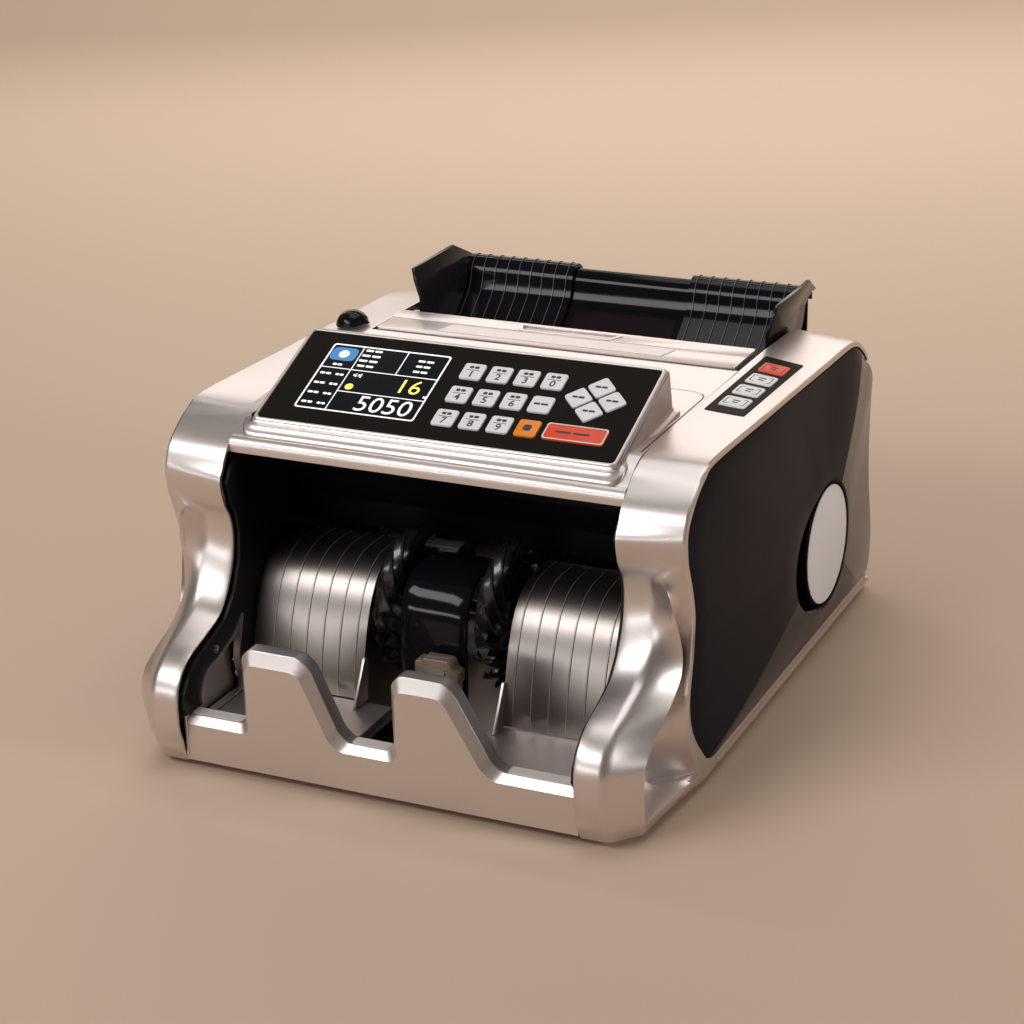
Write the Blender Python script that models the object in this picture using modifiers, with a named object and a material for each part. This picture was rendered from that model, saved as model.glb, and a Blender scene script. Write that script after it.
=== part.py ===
"""Desktop banknote counting machine, built as separate named pieces.

Run with blender --background --python part.py, or from Blender's text editor.
Named sizes are in millimetres and every mesh is made in metres through MM.
X points to the machine's right, Y to its rear and Z up. The feet stand on Z = 0.
"""

import math

import bmesh
import bpy
from mathutils import Matrix, Vector

MM = 0.001

# Overall sizes
HALF_WIDTH = 150.0
BAND_WIDTH = 36.0
HALF_INNER = HALF_WIDTH - BAND_WIDTH
FRONT_Y = -178.0
REAR_Y = 174.5
TOP_Z = 177.0
GAP = 0.3
WALL = 2.2

# Feet and base
FOOT_RADIUS = 11.0
FOOT_HEIGHT = 3.2
BASE_BOTTOM = FOOT_HEIGHT + GAP
BASE_THICKNESS = 3.3
BASE_FRONT = -162.0
BASE_SHOULDER = -76.0
BASE_REAR = REAR_Y + 6.5
FOOT_X = HALF_WIDTH - 50.0
FOOT_FRONT_Y = -148.0
FOOT_REAR_Y = REAR_Y - 14.5

# Side covers and their raised hub
COVER_BULGE = 6.0
COVER_WALL = 2.4
COVER_GAP = 0.5
HUB_Y = 83.5
HUB_Z = 67.0
FINGER_POCKET_REACH = 12.0
DISH_DEPTH = 10.0
DISH_HOLE_RADIUS = 8.0

# Handwheel on the main shaft
HANDWHEEL_RADIUS = 35.8
HUB_RIM_RADIUS = HANDWHEEL_RADIUS + 7.2
HANDWHEEL_THICKNESS = 8.6

# Side frames
FRAME_THICKNESS = 2.0
FRAME_TOP = 154.0
FRAME_REAR = REAR_Y - 3.5

# Front plate and stacker pocket
PLATE_DEPTH = 12.0
PLATE_EDGE_ROUND = 2.0
TRAY_FRONT = FRONT_Y + 8.0
LOW_TOP = 31.0
TAB_TOP = 74.8
TRAY_HALF = HALF_INNER - 2.8
TRAY_TOP = 22.0
TRAY_THICKNESS = 4.0
TRAY_REAR = -112.0
GUIDE_INNER = 42.0
GUIDE_OUTER = HALF_INNER - 3.5
STACKER_CENTRE = 1.5
HOOD_HALF = 20.0

# Stacker wheels
STACKER_Y = -80.0
STACKER_Z = 73.0
WHEEL_RADIUS = 41.0
WHEEL_HUB_RADIUS = 13.0
WHEEL_WIDTH = 14.0
WHEEL_OFFSET = 29.5
BLADE_COUNT = 8
SHAFT_RADIUS = 4.0
SHAFT_CLEARANCE = 0.5
SHAFT_HALF = HALF_INNER + 2.0

# Drive
MOTOR_Y = 20.0
MOTOR_Z = 45.0
MOTOR_RADIUS = 17.0
MOTOR_LENGTH = 48.0
BELT_X = 14.0 - HALF_INNER
BELT_WIDTH = 6.0
BELT_THICKNESS = 1.5
BELT_CLEARANCE = 0.4
MOTOR_PULLEY_RADIUS = 8.0
SHAFT_PULLEY_RADIUS = 20.0
PULLEY_FLANGE = 1.0
ROLLER_RADIUS = 15.0
ROLLER_HALF = 60.0

# Console, keypad plate and keys
PANEL_WIDTH = 206.0
PANEL_HEIGHT = 72.6
PANEL_TILT = math.radians(22.2)
PANEL_Y = -67.1
PANEL_Z = 188.7
PANEL_THICKNESS = 2.0
PANEL_RECESS_MARGIN = 5.0
PANEL_RECESS_DEPTH = 12.0
KEY_SIZE = 12.4
KEY_PROUD = 0.9
KEY_DEPTH = 2.3
KEY_FIRST_X = 1.6
KEY_PITCH_X = 15.8
KEY_PITCH_Y = 18.7
KEY_MIDDLE_Y = -0.7
WIDE_KEY_X = 75.8
WIDE_KEY_WIDTH = 34.2
WIDE_KEY_HEIGHT = 12.0
DIAMOND_X = 76.3
DIAMOND_Y = 8.0
DIAMOND_STEP = 9.5
DIAMOND_SIZE = 12.6
DISPLAY_X = -50.6
DISPLAY_Y = 1.4
DISPLAY_WIDTH = 72.0
DISPLAY_HEIGHT = 53.5
DISPLAY_THICKNESS = 1.2
CONSOLE_SIDE_INSET = 3.5
CONSOLE_SIDE_TAPER = 0.14

# Side key strip on the right band
STRIP_X = HALF_WIDTH - 20.5
STRIP_Y = 34.0
STRIP_WIDTH = 22.5
STRIP_LENGTH = 96.0
STRIP_THICKNESS = 1.6
SIDE_KEY_WIDTH = 15.0
SIDE_KEY_LENGTH = 15.6
SIDE_KEY_PITCH = 20.3
BAND_LIFT = 0.9
BAND_EDGE_DROP = 3.4
BAND_INNER_DROP = 0.4 / 48.0
BAND_OUTER_DROP = 2.2 / 64.0
BAND_CROWN = 0.55

# Thickness knob on the left band
KNOB_X = 19.0 - HALF_WIDTH
KNOB_Y = 58.5
KNOB_RADIUS = 9.8
KNOB_HEIGHT = 9.0

# Access flap
FLAP_FRONT = 51.0
FLAP_REAR = REAR_Y - 88.5
FLAP_HALF = HALF_INNER - 2.7
FLAP_THICKNESS = 3.2
FLAP_TOP = 178.5
FLAP_HINGE_Y = FLAP_FRONT + 2.0
FLAP_HINGE_Z = FLAP_TOP - 1.9

# Hopper
HOPPER_HALF = HALF_INNER - 5.6
SADDLE_INNER = 38.0
SADDLE_LIFT = 2.7
WING_X = HALF_INNER - 3.8
WING_THICKNESS = 2.2
WING_FLARE_FROM = 179.0
WING_FLARE = 0.3

# Rear fittings
INLET_X = -70.0
INLET_Z = 42.0
INLET_WIDTH = 30.0
INLET_HEIGHT = 22.0
SWITCH_X = INLET_X - 28.0
SWITCH_WIDTH = 13.0
SWITCH_HEIGHT = 20.0
SWITCH_MARGIN_X = 0.7
SWITCH_MARGIN_Z = 1.2
SWITCH_PIVOT_DEPTH = 2.5
INLET_DEPTH = 9.0
SOCKET_HALF_WIDTH = 11.5
SOCKET_HALF_HEIGHT = 7.0
SOCKET_DEPTH = 7.0

# Control board, standing on the base behind the motor
BOARD_LIFT = 6.0
BOARD_THICKNESS = 1.6
TRANSFORMER_HEIGHT = 37.0

# Side outline of one leg and band, from the bottom up and then rearward.
# Each row holds the inner edge (y, z), the outer ridge, the finger pocket behind
# the ridge, the rim (y, z) and the cover's border (y, z). The ridge and the pocket
# are (distance in from the side face, y, z).
LEG_ROWS = [
    ((-80, 4.0), (10, -80, 4.0), (4, -80, 4.0), (-80, 4.0), (-79, 7.2)),
    ((-172, 4.0), (9, -159, 4.0), (4, -122, 4.0), (-93, 4.0), (-90, 7.5)),
    ((-179.5, 12), (5.5, -165, 12), (2.5, -124, 11), (-100, 12), (-97, 15)),
    ((-181, 16), (5.2, -166, 15), (21, -126, 13.0), (-103, 15.5), (-100, 18.5)),
    ((-184, 25), (4.5, -168, 26), (22, -130, 28), (-115, 31), (-111.5, 32)),
    ((-184.5, 34), (4, -168.5, 37), (21, -132, 38), (-119.5, 42), (-116.3, 43)),
    ((-183, 45), (4, -165, 46.5), (19, -130, 47), (-121, 52), (-117.8, 52)),
    ((-177.5, 54), (4, -152, 54), (17, -124, 56), (-120.8, 60), (-117.3, 60)),
    ((-167, 61.5), (4, -135, 61.5), (14, -116, 65), (-118.5, 70), (-115, 70)),
    ((-152, 66), (3.5, -121, 72), (12, -110, 75), (-116, 80), (-112.4, 80)),
    ((-137, 71.5), (3.5, -117.5, 83), (11, -109, 85), (-114, 91), (-110.4, 91)),
    ((-126.5, 82), (4.5, -119, 95), (10.5, -111, 96), (-113, 101), (-109.3, 101)),
    ((-118.5, 98), (6, -123, 107), (10, -115, 107), (-114, 110), (-110.4, 110)),
    ((-116.5, 112), (8.5, -126, 119), (9, -120, 119), (-116.5, 119), (-112.7, 119)),
    ((-118.5, 123), (11, -122.5, 126), (4.5, -120, 126), (-119.5, 128), (-115.8, 128)),
]

# The upper lobe and the top band need only the inner edge, rim and border.
BAND_ROWS = [
    ((-122.5, 130), (-121.5, 134), (-118, 134)),
    ((-125.5, 144), (-122.3, 145), (-118.8, 145)),
    ((-121.5, 151.5), (-120.5, 152), (-117, 151.5)),
    ((-116.5, 159.5), (-116.5, 159), (-113.5, 156.5)),
    ((-107, 167), (-107.5, 166.5), (-104.5, 164)),
    ((-96.5, 173.5), (-95.5, 172.8), (-93.5, 170)),
    ((-78, 177), (-79.5, 176.5), (-79, 173.8)),
    ((-15, 177), (-15.5, 174.2), (-15.5, 171.8)),
    ((48, 176.6), (48.5, 172), (48.5, 169.6)),
    ((100, 175.6), (99.5, 170), (99.5, 167.6)),
    ((REAR_Y - 31.5, 172.5), (REAR_Y - 31, 168), (REAR_Y - 31.5, 165.6)),
    ((REAR_Y - 14.5, 163), (REAR_Y - 12.5, 159.5), (REAR_Y - 13.5, 157.5)),
    ((REAR_Y - 4.5, 153), (REAR_Y - 2.5, 150), (REAR_Y - 4, 148.5)),
]

# Rest of the side cover's border, down the rear and back along the bottom
COVER_REAR = [
    (REAR_Y + 4, 143), (REAR_Y + 9, 135), (REAR_Y + 6, 121), (REAR_Y + 4, 96),
    (REAR_Y + 5, 70), (REAR_Y + 12, 40), (REAR_Y + 12, 25), (REAR_Y + 6.5, 7.5),
]

FRAME_FRONT = [
    (-162.5, 9), (-162.5, 22.4), (-121, 22.4), (-121.5, 30), (-124, 40), (-123, 48),
    (-120, 57), (-117.5, 66), (-127, 58), (-140, 53), (-153, 49.5), (-161, 45),
    (-164.5, 38), (-164.5, 31.4), (-178, 31.4), (-181, 36), (-179.5, 44), (-174.5, 51),
    (-165, 58), (-150.5, 62.5), (-134.5, 68.5), (-123, 80), (-115, 97), (-113, 112),
    (-115, 124), (-119, 131), (-121.8, 143), (-117.5, 150),
]

PLATE_OUTLINE = [
    (0.1 - HALF_INNER, 4.2), (0.1 - HALF_INNER, LOW_TOP), (-80, LOW_TOP), (-78, 33),
    (-78, 70), (-73.5, TAB_TOP),
    (-44, TAB_TOP), (-37.5, 70), (-22.5, 36), (-17, LOW_TOP), (6.5, LOW_TOP), (10, 34),
    (10, 70), (14.5, TAB_TOP), (40, TAB_TOP), (45.5, 70.5), (65, 35.5), (71, LOW_TOP),
    (HALF_INNER - 0.1, LOW_TOP), (HALF_INNER - 0.1, 4.2),
]

GUIDE_PROFILE = [
    (-112, 22.6), (-110.5, 35), (-107, 50), (-102, 65), (-96, 77), (-88.5, 86),
    (-79, 91.5), (-68, 93.5), (-50, 93),
]

HOOD_PROFILE = [
    (-164, 13), (-117, 13), (-114, 18), (-113, 50), (-110.5, 75), (-106, 87),
    (-98, 95), (-87, 98), (-72, 97), (-60, 94),
]

ROOF_PROFILE = [(-106, 158), (-96, 154), (-78, 146), (-60, 132), (-48, 114), (-43, 96)]

TOP_PROFILE = [
    (-113.5, 159), (-113, 163), (-110.5, 165.8), (-107.5, 167), (-98, 173.5), (-89, TOP_Z),
    (49.4, TOP_Z), (49.4, 174), (-88, 174), (-97, 170.5), (-106.5, 163.5), (-109.5, 159),
]

CONSOLE_PROFILE = [
    (-110.3, 167.9), (-109.3, 171.6), (-104.6, 173.4), (-30, 203.9), (-26.5, 203),
    (-21, 177.4), (-88.5, 177.4), (-97.6, 174.1),
]

# The hopper hangs from the rear wall, so its outlines are measured from there.
TRAY_BACK = [
    (-86.5, 112), (-70.5, 121), (-52.5, 133), (-34.5, 146), (-21, 156), (-9.5, 165.5), (-5, 173),
    (-2.5, 180), (2, 184.5), (6.5, 183.5), (9.1, 178), (7.5, 152),
]
TRAY_PROFILE = [(REAR_Y + back, z) for back, z in TRAY_BACK]

WING_BACK = [(-68, 127), (-68, 190), (-66, 197), (-12.5, 197), (8, 186.2)]
WING_TOP = [(REAR_Y + back, z) for back, z in WING_BACK]

REAR_PROFILE = [
    (REAR_Y + 0.3, 149), (REAR_Y + 3.8, 143), (REAR_Y + 5.5, 136), (REAR_Y + 2, 121),
    (REAR_Y, 96), (REAR_Y, 8),
]

COLOURS = {
    "rose_gold": ((0.66, 0.56, 0.53), 0.32, 0.75),
    "silver_rose": ((0.52, 0.45, 0.43), 0.35, 0.85),
    "gloss_black": ((0.015, 0.013, 0.015), 0.18, 0.0),
    "satin_black": ((0.012, 0.012, 0.013), 0.45, 0.0),
    "keypad_black": ((0.02, 0.018, 0.016), 0.3, 0.0),
    "screen_glass": ((0.01, 0.012, 0.014), 0.08, 0.0),
    "key_white": ((0.82, 0.82, 0.80), 0.45, 0.0),
    "key_red": ((0.80, 0.10, 0.03), 0.4, 0.0),
    "key_orange": ((0.90, 0.28, 0.02), 0.4, 0.0),
    "disc_grey": ((0.60, 0.59, 0.61), 0.35, 0.0),
    "steel": ((0.55, 0.56, 0.58), 0.3, 1.0),
    "rubber": ((0.03, 0.03, 0.03), 0.8, 0.0),
    "board_green": ((0.02, 0.16, 0.07), 0.5, 0.0),
}


def clear_scene():
    for obj in list(bpy.data.objects):
        bpy.data.objects.remove(obj)


def make_collection(name):
    collection = bpy.data.collections.new(name)
    bpy.context.scene.collection.children.link(collection)
    return collection


def give_material(obj, colour_name):
    colour, roughness, metallic = COLOURS[colour_name]
    material = bpy.data.materials.new(obj.name)
    material.use_nodes = True
    shader = material.node_tree.nodes["Principled BSDF"]
    shader.inputs["Base Color"].default_value = (*colour, 1.0)
    shader.inputs["Roughness"].default_value = roughness
    shader.inputs["Metallic"].default_value = metallic
    obj.data.materials.append(material)


def add_object(name, bm, origin=(0, 0, 0)):
    """Turn a bmesh drawn in millimetres into an object whose origin is at the given point."""
    offset = Vector(origin)
    for vert in bm.verts:
        vert.co = (vert.co - offset) * MM
    mesh = bpy.data.meshes.new(name)
    bm.to_mesh(mesh)
    bm.free()
    obj = bpy.data.objects.new(name, mesh)
    obj.location = offset * MM
    PARTS.objects.link(obj)
    return obj


def make_cutter(obj):
    """Keep a cutting shape out of the render and in the cutters' own collection."""
    PARTS.objects.unlink(obj)
    CUTTERS.objects.link(obj)
    obj.hide_render = True
    obj.display_type = "WIRE"
    return obj


def add_boolean(obj, other, operation):
    modifier = obj.modifiers.new(f"{operation.lower()} {other.name}", "BOOLEAN")
    modifier.operation = operation
    modifier.solver = "EXACT"
    modifier.object = make_cutter(other)


def add_bevel(obj, width, segments=1):
    modifier = obj.modifiers.new("rounded edges", "BEVEL")
    modifier.width = width * MM
    modifier.segments = segments
    modifier.limit_method = "ANGLE"
    modifier.angle_limit = math.radians(40)


def add_wall(obj, thickness):
    modifier = obj.modifiers.new("wall", "SOLIDIFY")
    modifier.thickness = thickness * MM
    modifier.offset = -1.0


def box(name, low, high, bevel=0.0):
    bm = bmesh.new()
    low = Vector(low)
    high = Vector(high)
    centre = (low + high) / 2
    place = Matrix.Translation(centre) @ Matrix.Diagonal((*(high - low), 1.0))
    bmesh.ops.create_cube(bm, size=1.0, matrix=place)
    obj = add_object(name, bm, centre)
    if bevel:
        add_bevel(obj, bevel)
    return obj


def cylinder(name, start, end, radius, segments=24):
    """A closed cylinder between two points."""
    start = Vector(start)
    end = Vector(end)
    direction = end - start
    turn = direction.to_track_quat("Z", "Y").to_matrix().to_4x4()
    bm = bmesh.new()
    place = Matrix.Translation((start + end) / 2) @ turn
    bmesh.ops.create_cone(
        bm, cap_ends=True, segments=segments, radius1=radius, radius2=radius,
        depth=direction.length, matrix=place,
    )
    return add_object(name, bm, start)


def prism(name, outline, along, start, end, bevel=0.0):
    """A flat outline pushed from start to end along X or Y or Z."""
    curve = bpy.data.curves.new(name, "CURVE")
    curve.dimensions = "2D"
    curve.fill_mode = "BOTH"
    curve.extrude = (end - start) / 2 * MM
    spline = curve.splines.new("POLY")
    spline.points.add(len(outline) - 1)
    for point, (first, second) in zip(spline.points, outline):
        point.co = (first * MM, second * MM, 0.0, 1.0)
    spline.use_cyclic_u = True
    source = bpy.data.objects.new(name + "_outline", curve)
    PARTS.objects.link(source)
    middle = (start + end) / 2 * MM
    turns = {
        "X": Matrix(((0, 0, 1, middle), (1, 0, 0, 0), (0, 1, 0, 0), (0, 0, 0, 1))),
        "Y": Matrix(((1, 0, 0, 0), (0, 0, -1, middle), (0, 1, 0, 0), (0, 0, 0, 1))),
        "Z": Matrix.Translation((0, 0, middle)),
    }
    bpy.context.view_layer.update()
    evaluated = source.evaluated_get(bpy.context.evaluated_depsgraph_get())
    mesh = bpy.data.meshes.new_from_object(evaluated)
    bm = bmesh.new()
    bm.from_mesh(mesh)
    bmesh.ops.remove_doubles(bm, verts=bm.verts, dist=1e-6)
    bmesh.ops.transform(bm, matrix=turns[along], verts=bm.verts)
    bmesh.ops.scale(bm, vec=(1 / MM, 1 / MM, 1 / MM), verts=bm.verts)
    bpy.data.objects.remove(source)
    bpy.data.meshes.remove(mesh)
    obj = add_object(name, bm)
    if bevel:
        add_bevel(obj, bevel)
    return obj


def loft(rows, closed=False):
    """An open sheet through rows of points; closed joins the last row to the first."""
    bm = bmesh.new()
    grid = [[bm.verts.new(point) for point in row] for row in rows]
    if closed:
        grid.append(grid[0])
    for lower, upper in zip(grid, grid[1:]):
        for a, b, c, d in zip(lower, lower[1:], upper[1:], upper):
            bm.faces.new((a, b, c, d))
    return bm


def ribbon(name, profile, start_x, end_x, thickness):
    """A bent sheet: a (y, z) profile swept along X, with its wall below the profile."""
    rows = [[(start_x, y, z), (end_x, y, z)] for y, z in profile]
    obj = add_object(name, loft(rows))
    add_wall(obj, thickness)
    return obj


def ring(name, profile, centre, axis_turn, steps=32):
    """A turned piece: an (radius, height) loop or open line screwed about its axis."""
    closed = min(radius for radius, height in profile) > 0
    bm = bmesh.new()
    verts = [bm.verts.new((radius, 0, height)) for radius, height in profile]
    for a, b in zip(verts, verts[1:]):
        bm.edges.new((a, b))
    if closed:
        bm.edges.new((verts[-1], verts[0]))
    obj = add_object(name, bm)
    obj.location = Vector(centre) * MM
    obj.rotation_euler = axis_turn
    screw = obj.modifiers.new("turning", "SCREW")
    screw.axis = "Z"
    screw.steps = steps
    screw.render_steps = steps
    screw.use_merge_vertices = True
    screw.merge_threshold = 1e-5
    return obj


def offset_line(points, distance):
    """The line moved sideways by a distance, to its left as it runs."""
    moved = []
    for index, point in enumerate(points):
        before = Vector(points[max(index - 1, 0)])
        after = Vector(points[min(index + 1, len(points) - 1)])
        run = (after - before).normalized()
        moved.append((point[0] - run.y * distance, point[1] + run.x * distance))
    return moved


def curve_between(first, control, last, steps):
    """Points of a quadratic curve after its first point."""
    points = []
    for step in range(1, steps + 1):
        t = step / steps
        start = (1 - t) ** 2 * Vector(first)
        middle = 2 * t * (1 - t) * Vector(control)
        points.append(tuple(start + middle + t * t * Vector(last)))
    return points


def leg_section(row):
    (edge_y, edge_z), ridge, pocket, (rim_y, rim_z), (border_y, border_z) = row
    ridge = (HALF_WIDTH - ridge[0], *ridge[1:])
    pocket = (HALF_WIDTH - pocket[0], *pocket[1:])
    edge_x = HALF_INNER + GAP
    edge = (edge_x, edge_y, edge_z)
    shoulder = (edge_x + 7.0, edge_y, edge_z)
    control = (edge_x + 18.0, edge_y, (edge_z + ridge[2]) / 2)
    rim = (HALF_WIDTH, rim_y, rim_z)
    border = (HALF_WIDTH, border_y, border_z)
    return [edge, shoulder, *curve_between(shoulder, control, ridge, 4), pocket, rim, border]


def band_section(row):
    (edge_y, edge_z), (rim_y, rim_z), (border_y, border_z) = row
    edge_x = HALF_INNER + GAP
    points = []
    levels = [edge_x + step for step in (0.0, 7.0, 13.0, 19.0, 24.0, 29.0)]
    for x in (*levels, HALF_WIDTH - WALL):
        share = (x - edge_x) / (HALF_WIDTH - edge_x)
        lift = BAND_CROWN * share ** 2
        y = edge_y + (rim_y - edge_y) * share
        z = edge_z + (rim_z - edge_z) * share + lift
        points.append((x, y, z))
    near_y = rim_y + (border_y - rim_y) / 4
    near_z = rim_z + (border_z - rim_z) / 4
    points.append((HALF_WIDTH, near_y, near_z))
    points.append((HALF_WIDTH, border_y, border_z))
    return points


def mirrored(points, side):
    return [(side * x, y, z) for x, y, z in points]


def make_shell(name, side):
    rows = [mirrored(leg_section(row), side) for row in LEG_ROWS]
    rows += [mirrored(band_section(row), side) for row in BAND_ROWS]
    bm = loft(rows)
    if side < 0:
        bmesh.ops.reverse_faces(bm, faces=bm.faces)
    obj = add_object(name, bm)
    add_wall(obj, WALL)
    give_material(obj, "rose_gold")
    return obj


def cover_outline():
    """The side cover's border, just inside the rim, with its long edges divided."""
    corners = [row[4] for row in LEG_ROWS[1:]] + [row[2] for row in BAND_ROWS] + COVER_REAR
    corners += [(100, 7.5), (40, 7.5), (-20, 7.5)]
    inside = []
    for y, z in corners:
        inward = Vector((HUB_Y - y, HUB_Z - z)).normalized() * COVER_GAP
        inside.append((y + inward.x, max(z + inward.y, BASE_BOTTOM + BASE_THICKNESS + GAP)))
    return inside


def hub_reach(angle):
    """The hub rim's radius, wider at the front where a finger reaches the handwheel."""
    forward = max(0.0, math.cos(angle - math.pi))
    return HUB_RIM_RADIUS + FINGER_POCKET_REACH * forward ** 6


def make_side_cover(name, side, with_handwheel):
    edge_x = HALF_WIDTH - 0.4
    hub_x = edge_x + COVER_BULGE
    rows = []
    for y, z in cover_outline():
        angle = math.atan2(z - HUB_Z, y - HUB_Y)
        reach = hub_reach(angle)
        hub = Vector((HUB_Y + reach * math.cos(angle), HUB_Z + reach * math.sin(angle)))
        border = Vector((y, z))
        row = []
        for share in (0.0, 0.5, 1.0):
            point = border.lerp(hub, share)
            row.append((edge_x + COVER_BULGE * share, point.x, point.y))
        inner = (reach - 1.5, hub_x - 0.8)
        rings = [inner, (reach - 2.5, hub_x - DISH_DEPTH), (DISH_HOLE_RADIUS, hub_x - DISH_DEPTH)]
        if not with_handwheel:
            rings = [(reach * 0.5, hub_x), (0.5, hub_x)]
        for radius, x in rings:
            row.append((x, HUB_Y + radius * math.cos(angle), HUB_Z + radius * math.sin(angle)))
        rows.append(mirrored(row, side))
    bm = loft(rows, closed=True)
    if not with_handwheel:
        axis = Vector((HUB_Y, HUB_Z))
        centre = [vert for vert in bm.verts if (vert.co.yz - axis).length < 1.0]
        bmesh.ops.pointmerge(bm, verts=centre, merge_co=(side * hub_x, HUB_Y, HUB_Z))
    if side < 0:
        bmesh.ops.reverse_faces(bm, faces=bm.faces)
    obj = add_object(name, bm)
    add_wall(obj, COVER_WALL)
    give_material(obj, "gloss_black")
    return obj


def make_base():
    bottom = BASE_BOTTOM
    half = HALF_WIDTH
    inner = HALF_INNER - FRAME_THICKNESS - 1.0
    outline = [
        (-half, BASE_REAR), (-half, BASE_SHOULDER), (-inner, BASE_SHOULDER), (-inner, BASE_FRONT),
        (inner, BASE_FRONT), (inner, BASE_SHOULDER), (half, BASE_SHOULDER), (half, BASE_REAR),
    ]
    base = prism("base_plate", outline, "Z", bottom, bottom + BASE_THICKNESS)
    add_bevel(base, 0.8)
    give_material(base, "rose_gold")
    places = {"front_left": (-1, FOOT_FRONT_Y), "front_right": (1, FOOT_FRONT_Y)}
    places |= {"rear_left": (-1, FOOT_REAR_Y), "rear_right": (1, FOOT_REAR_Y)}
    for place, (side, y) in places.items():
        x = side * FOOT_X
        foot = cylinder("foot_" + place, (x, y, 0), (x, y, FOOT_HEIGHT), FOOT_RADIUS, 20)
        give_material(foot, "rubber")


def make_frame(name, side):
    outline = FRAME_FRONT + [
        (-111, FRAME_TOP), (FLAP_REAR - 1, FRAME_TOP), (FLAP_REAR + 1, 168), (FRAME_REAR - 21, 164),
        (FRAME_REAR - 8, 153), (FRAME_REAR, 140), (FRAME_REAR, 9),
    ]
    outer = side * (HALF_INNER - GAP)
    inner = side * (HALF_INNER - GAP - FRAME_THICKNESS)
    frame = prism(name, outline, "X", min(outer, inner), max(outer, inner))
    hole_radius = SHAFT_RADIUS + SHAFT_CLEARANCE
    for label, y, z in (("stacker", STACKER_Y, STACKER_Z), ("main", HUB_Y, HUB_Z)):
        start = (inner - side * 5, y, z)
        end = (outer + side * 5, y, z)
        hole = cylinder(f"{name}_{label}_hole", start, end, hole_radius)
        add_boolean(frame, hole, "DIFFERENCE")
    give_material(frame, "satin_black")


def make_front_plate():
    front = prism("front_plate", PLATE_OUTLINE, "Y", FRONT_Y, FRONT_Y + PLATE_DEPTH)
    add_bevel(front, PLATE_EDGE_ROUND)
    tray_bottom = TRAY_TOP - TRAY_THICKNESS
    rear = TRAY_REAR - GAP
    left = box("tray_left", (-TRAY_HALF, TRAY_FRONT, tray_bottom), (-24, rear, TRAY_TOP))
    right = box("tray_right", (36, TRAY_FRONT, tray_bottom), (TRAY_HALF, rear, TRAY_TOP))
    add_boolean(front, left, "UNION")
    add_boolean(front, right, "UNION")
    give_material(front, "rose_gold")


def make_stacker_pocket():
    for name, start, end in (
        ("stacker_guide_left", -GUIDE_OUTER, -GUIDE_INNER),
        ("stacker_guide_right", GUIDE_INNER, GUIDE_OUTER),
    ):
        guide = ribbon(name, GUIDE_PROFILE, start, end, WALL)
        give_material(guide, "silver_rose")
    hood_start = STACKER_CENTRE - HOOD_HALF
    hood_end = STACKER_CENTRE + HOOD_HALF
    hood = ribbon("centre_hood", HOOD_PROFILE, hood_start, hood_end, WALL)
    give_material(hood, "gloss_black")
    roof_half = HALF_INNER - FRAME_THICKNESS - 2 * GAP
    roof = ribbon("cavity_roof", ROOF_PROFILE, -roof_half, roof_half, WALL)
    give_material(roof, "satin_black")


def wheel_outline():
    """A hub with curved blades, each bending back as it leaves the hub."""
    front = ((1.0, -0.70), (0.97, -0.66), (0.7, -0.32), (0.35, -0.10), (0.0, 0.0))
    back = ((0.0, -0.30), (0.35, -0.26), (0.7, -0.42))
    outline = []
    for blade in range(BLADE_COUNT):
        start = blade * 2 * math.pi / BLADE_COUNT
        for share, lead in (*back, *front):
            radius = WHEEL_HUB_RADIUS + (WHEEL_RADIUS - WHEEL_HUB_RADIUS) * share
            angle = start + lead
            outline.append((STACKER_Y + radius * math.cos(angle), STACKER_Z + radius * math.sin(angle)))
    return outline


def make_stacker_wheels():
    for name, side in (("stacker_wheel_left", -1), ("stacker_wheel_right", 1)):
        centre = STACKER_CENTRE + side * WHEEL_OFFSET
        start = centre - WHEEL_WIDTH / 2
        wheel = prism(name, wheel_outline(), "X", start, start + WHEEL_WIDTH)
        bore_start = (start - 1, STACKER_Y, STACKER_Z)
        bore_end = (start + WHEEL_WIDTH + 1, STACKER_Y, STACKER_Z)
        bore = cylinder(name + "_bore", bore_start, bore_end, SHAFT_RADIUS + GAP)
        add_boolean(wheel, bore, "DIFFERENCE")
        move_origin(wheel, (0, STACKER_Y, STACKER_Z))
        give_material(wheel, "gloss_black")
    shaft_start = (-SHAFT_HALF, STACKER_Y, STACKER_Z)
    shaft_end = (SHAFT_HALF, STACKER_Y, STACKER_Z)
    shaft = cylinder("stacker_shaft", shaft_start, shaft_end, SHAFT_RADIUS)
    give_material(shaft, "steel")


def move_origin(obj, point):
    """Put an object's origin on a joint axis without moving its shape."""
    shift = Vector(point) * MM - obj.location
    obj.data.transform(Matrix.Translation(-shift))
    obj.location = Vector(point) * MM


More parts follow.
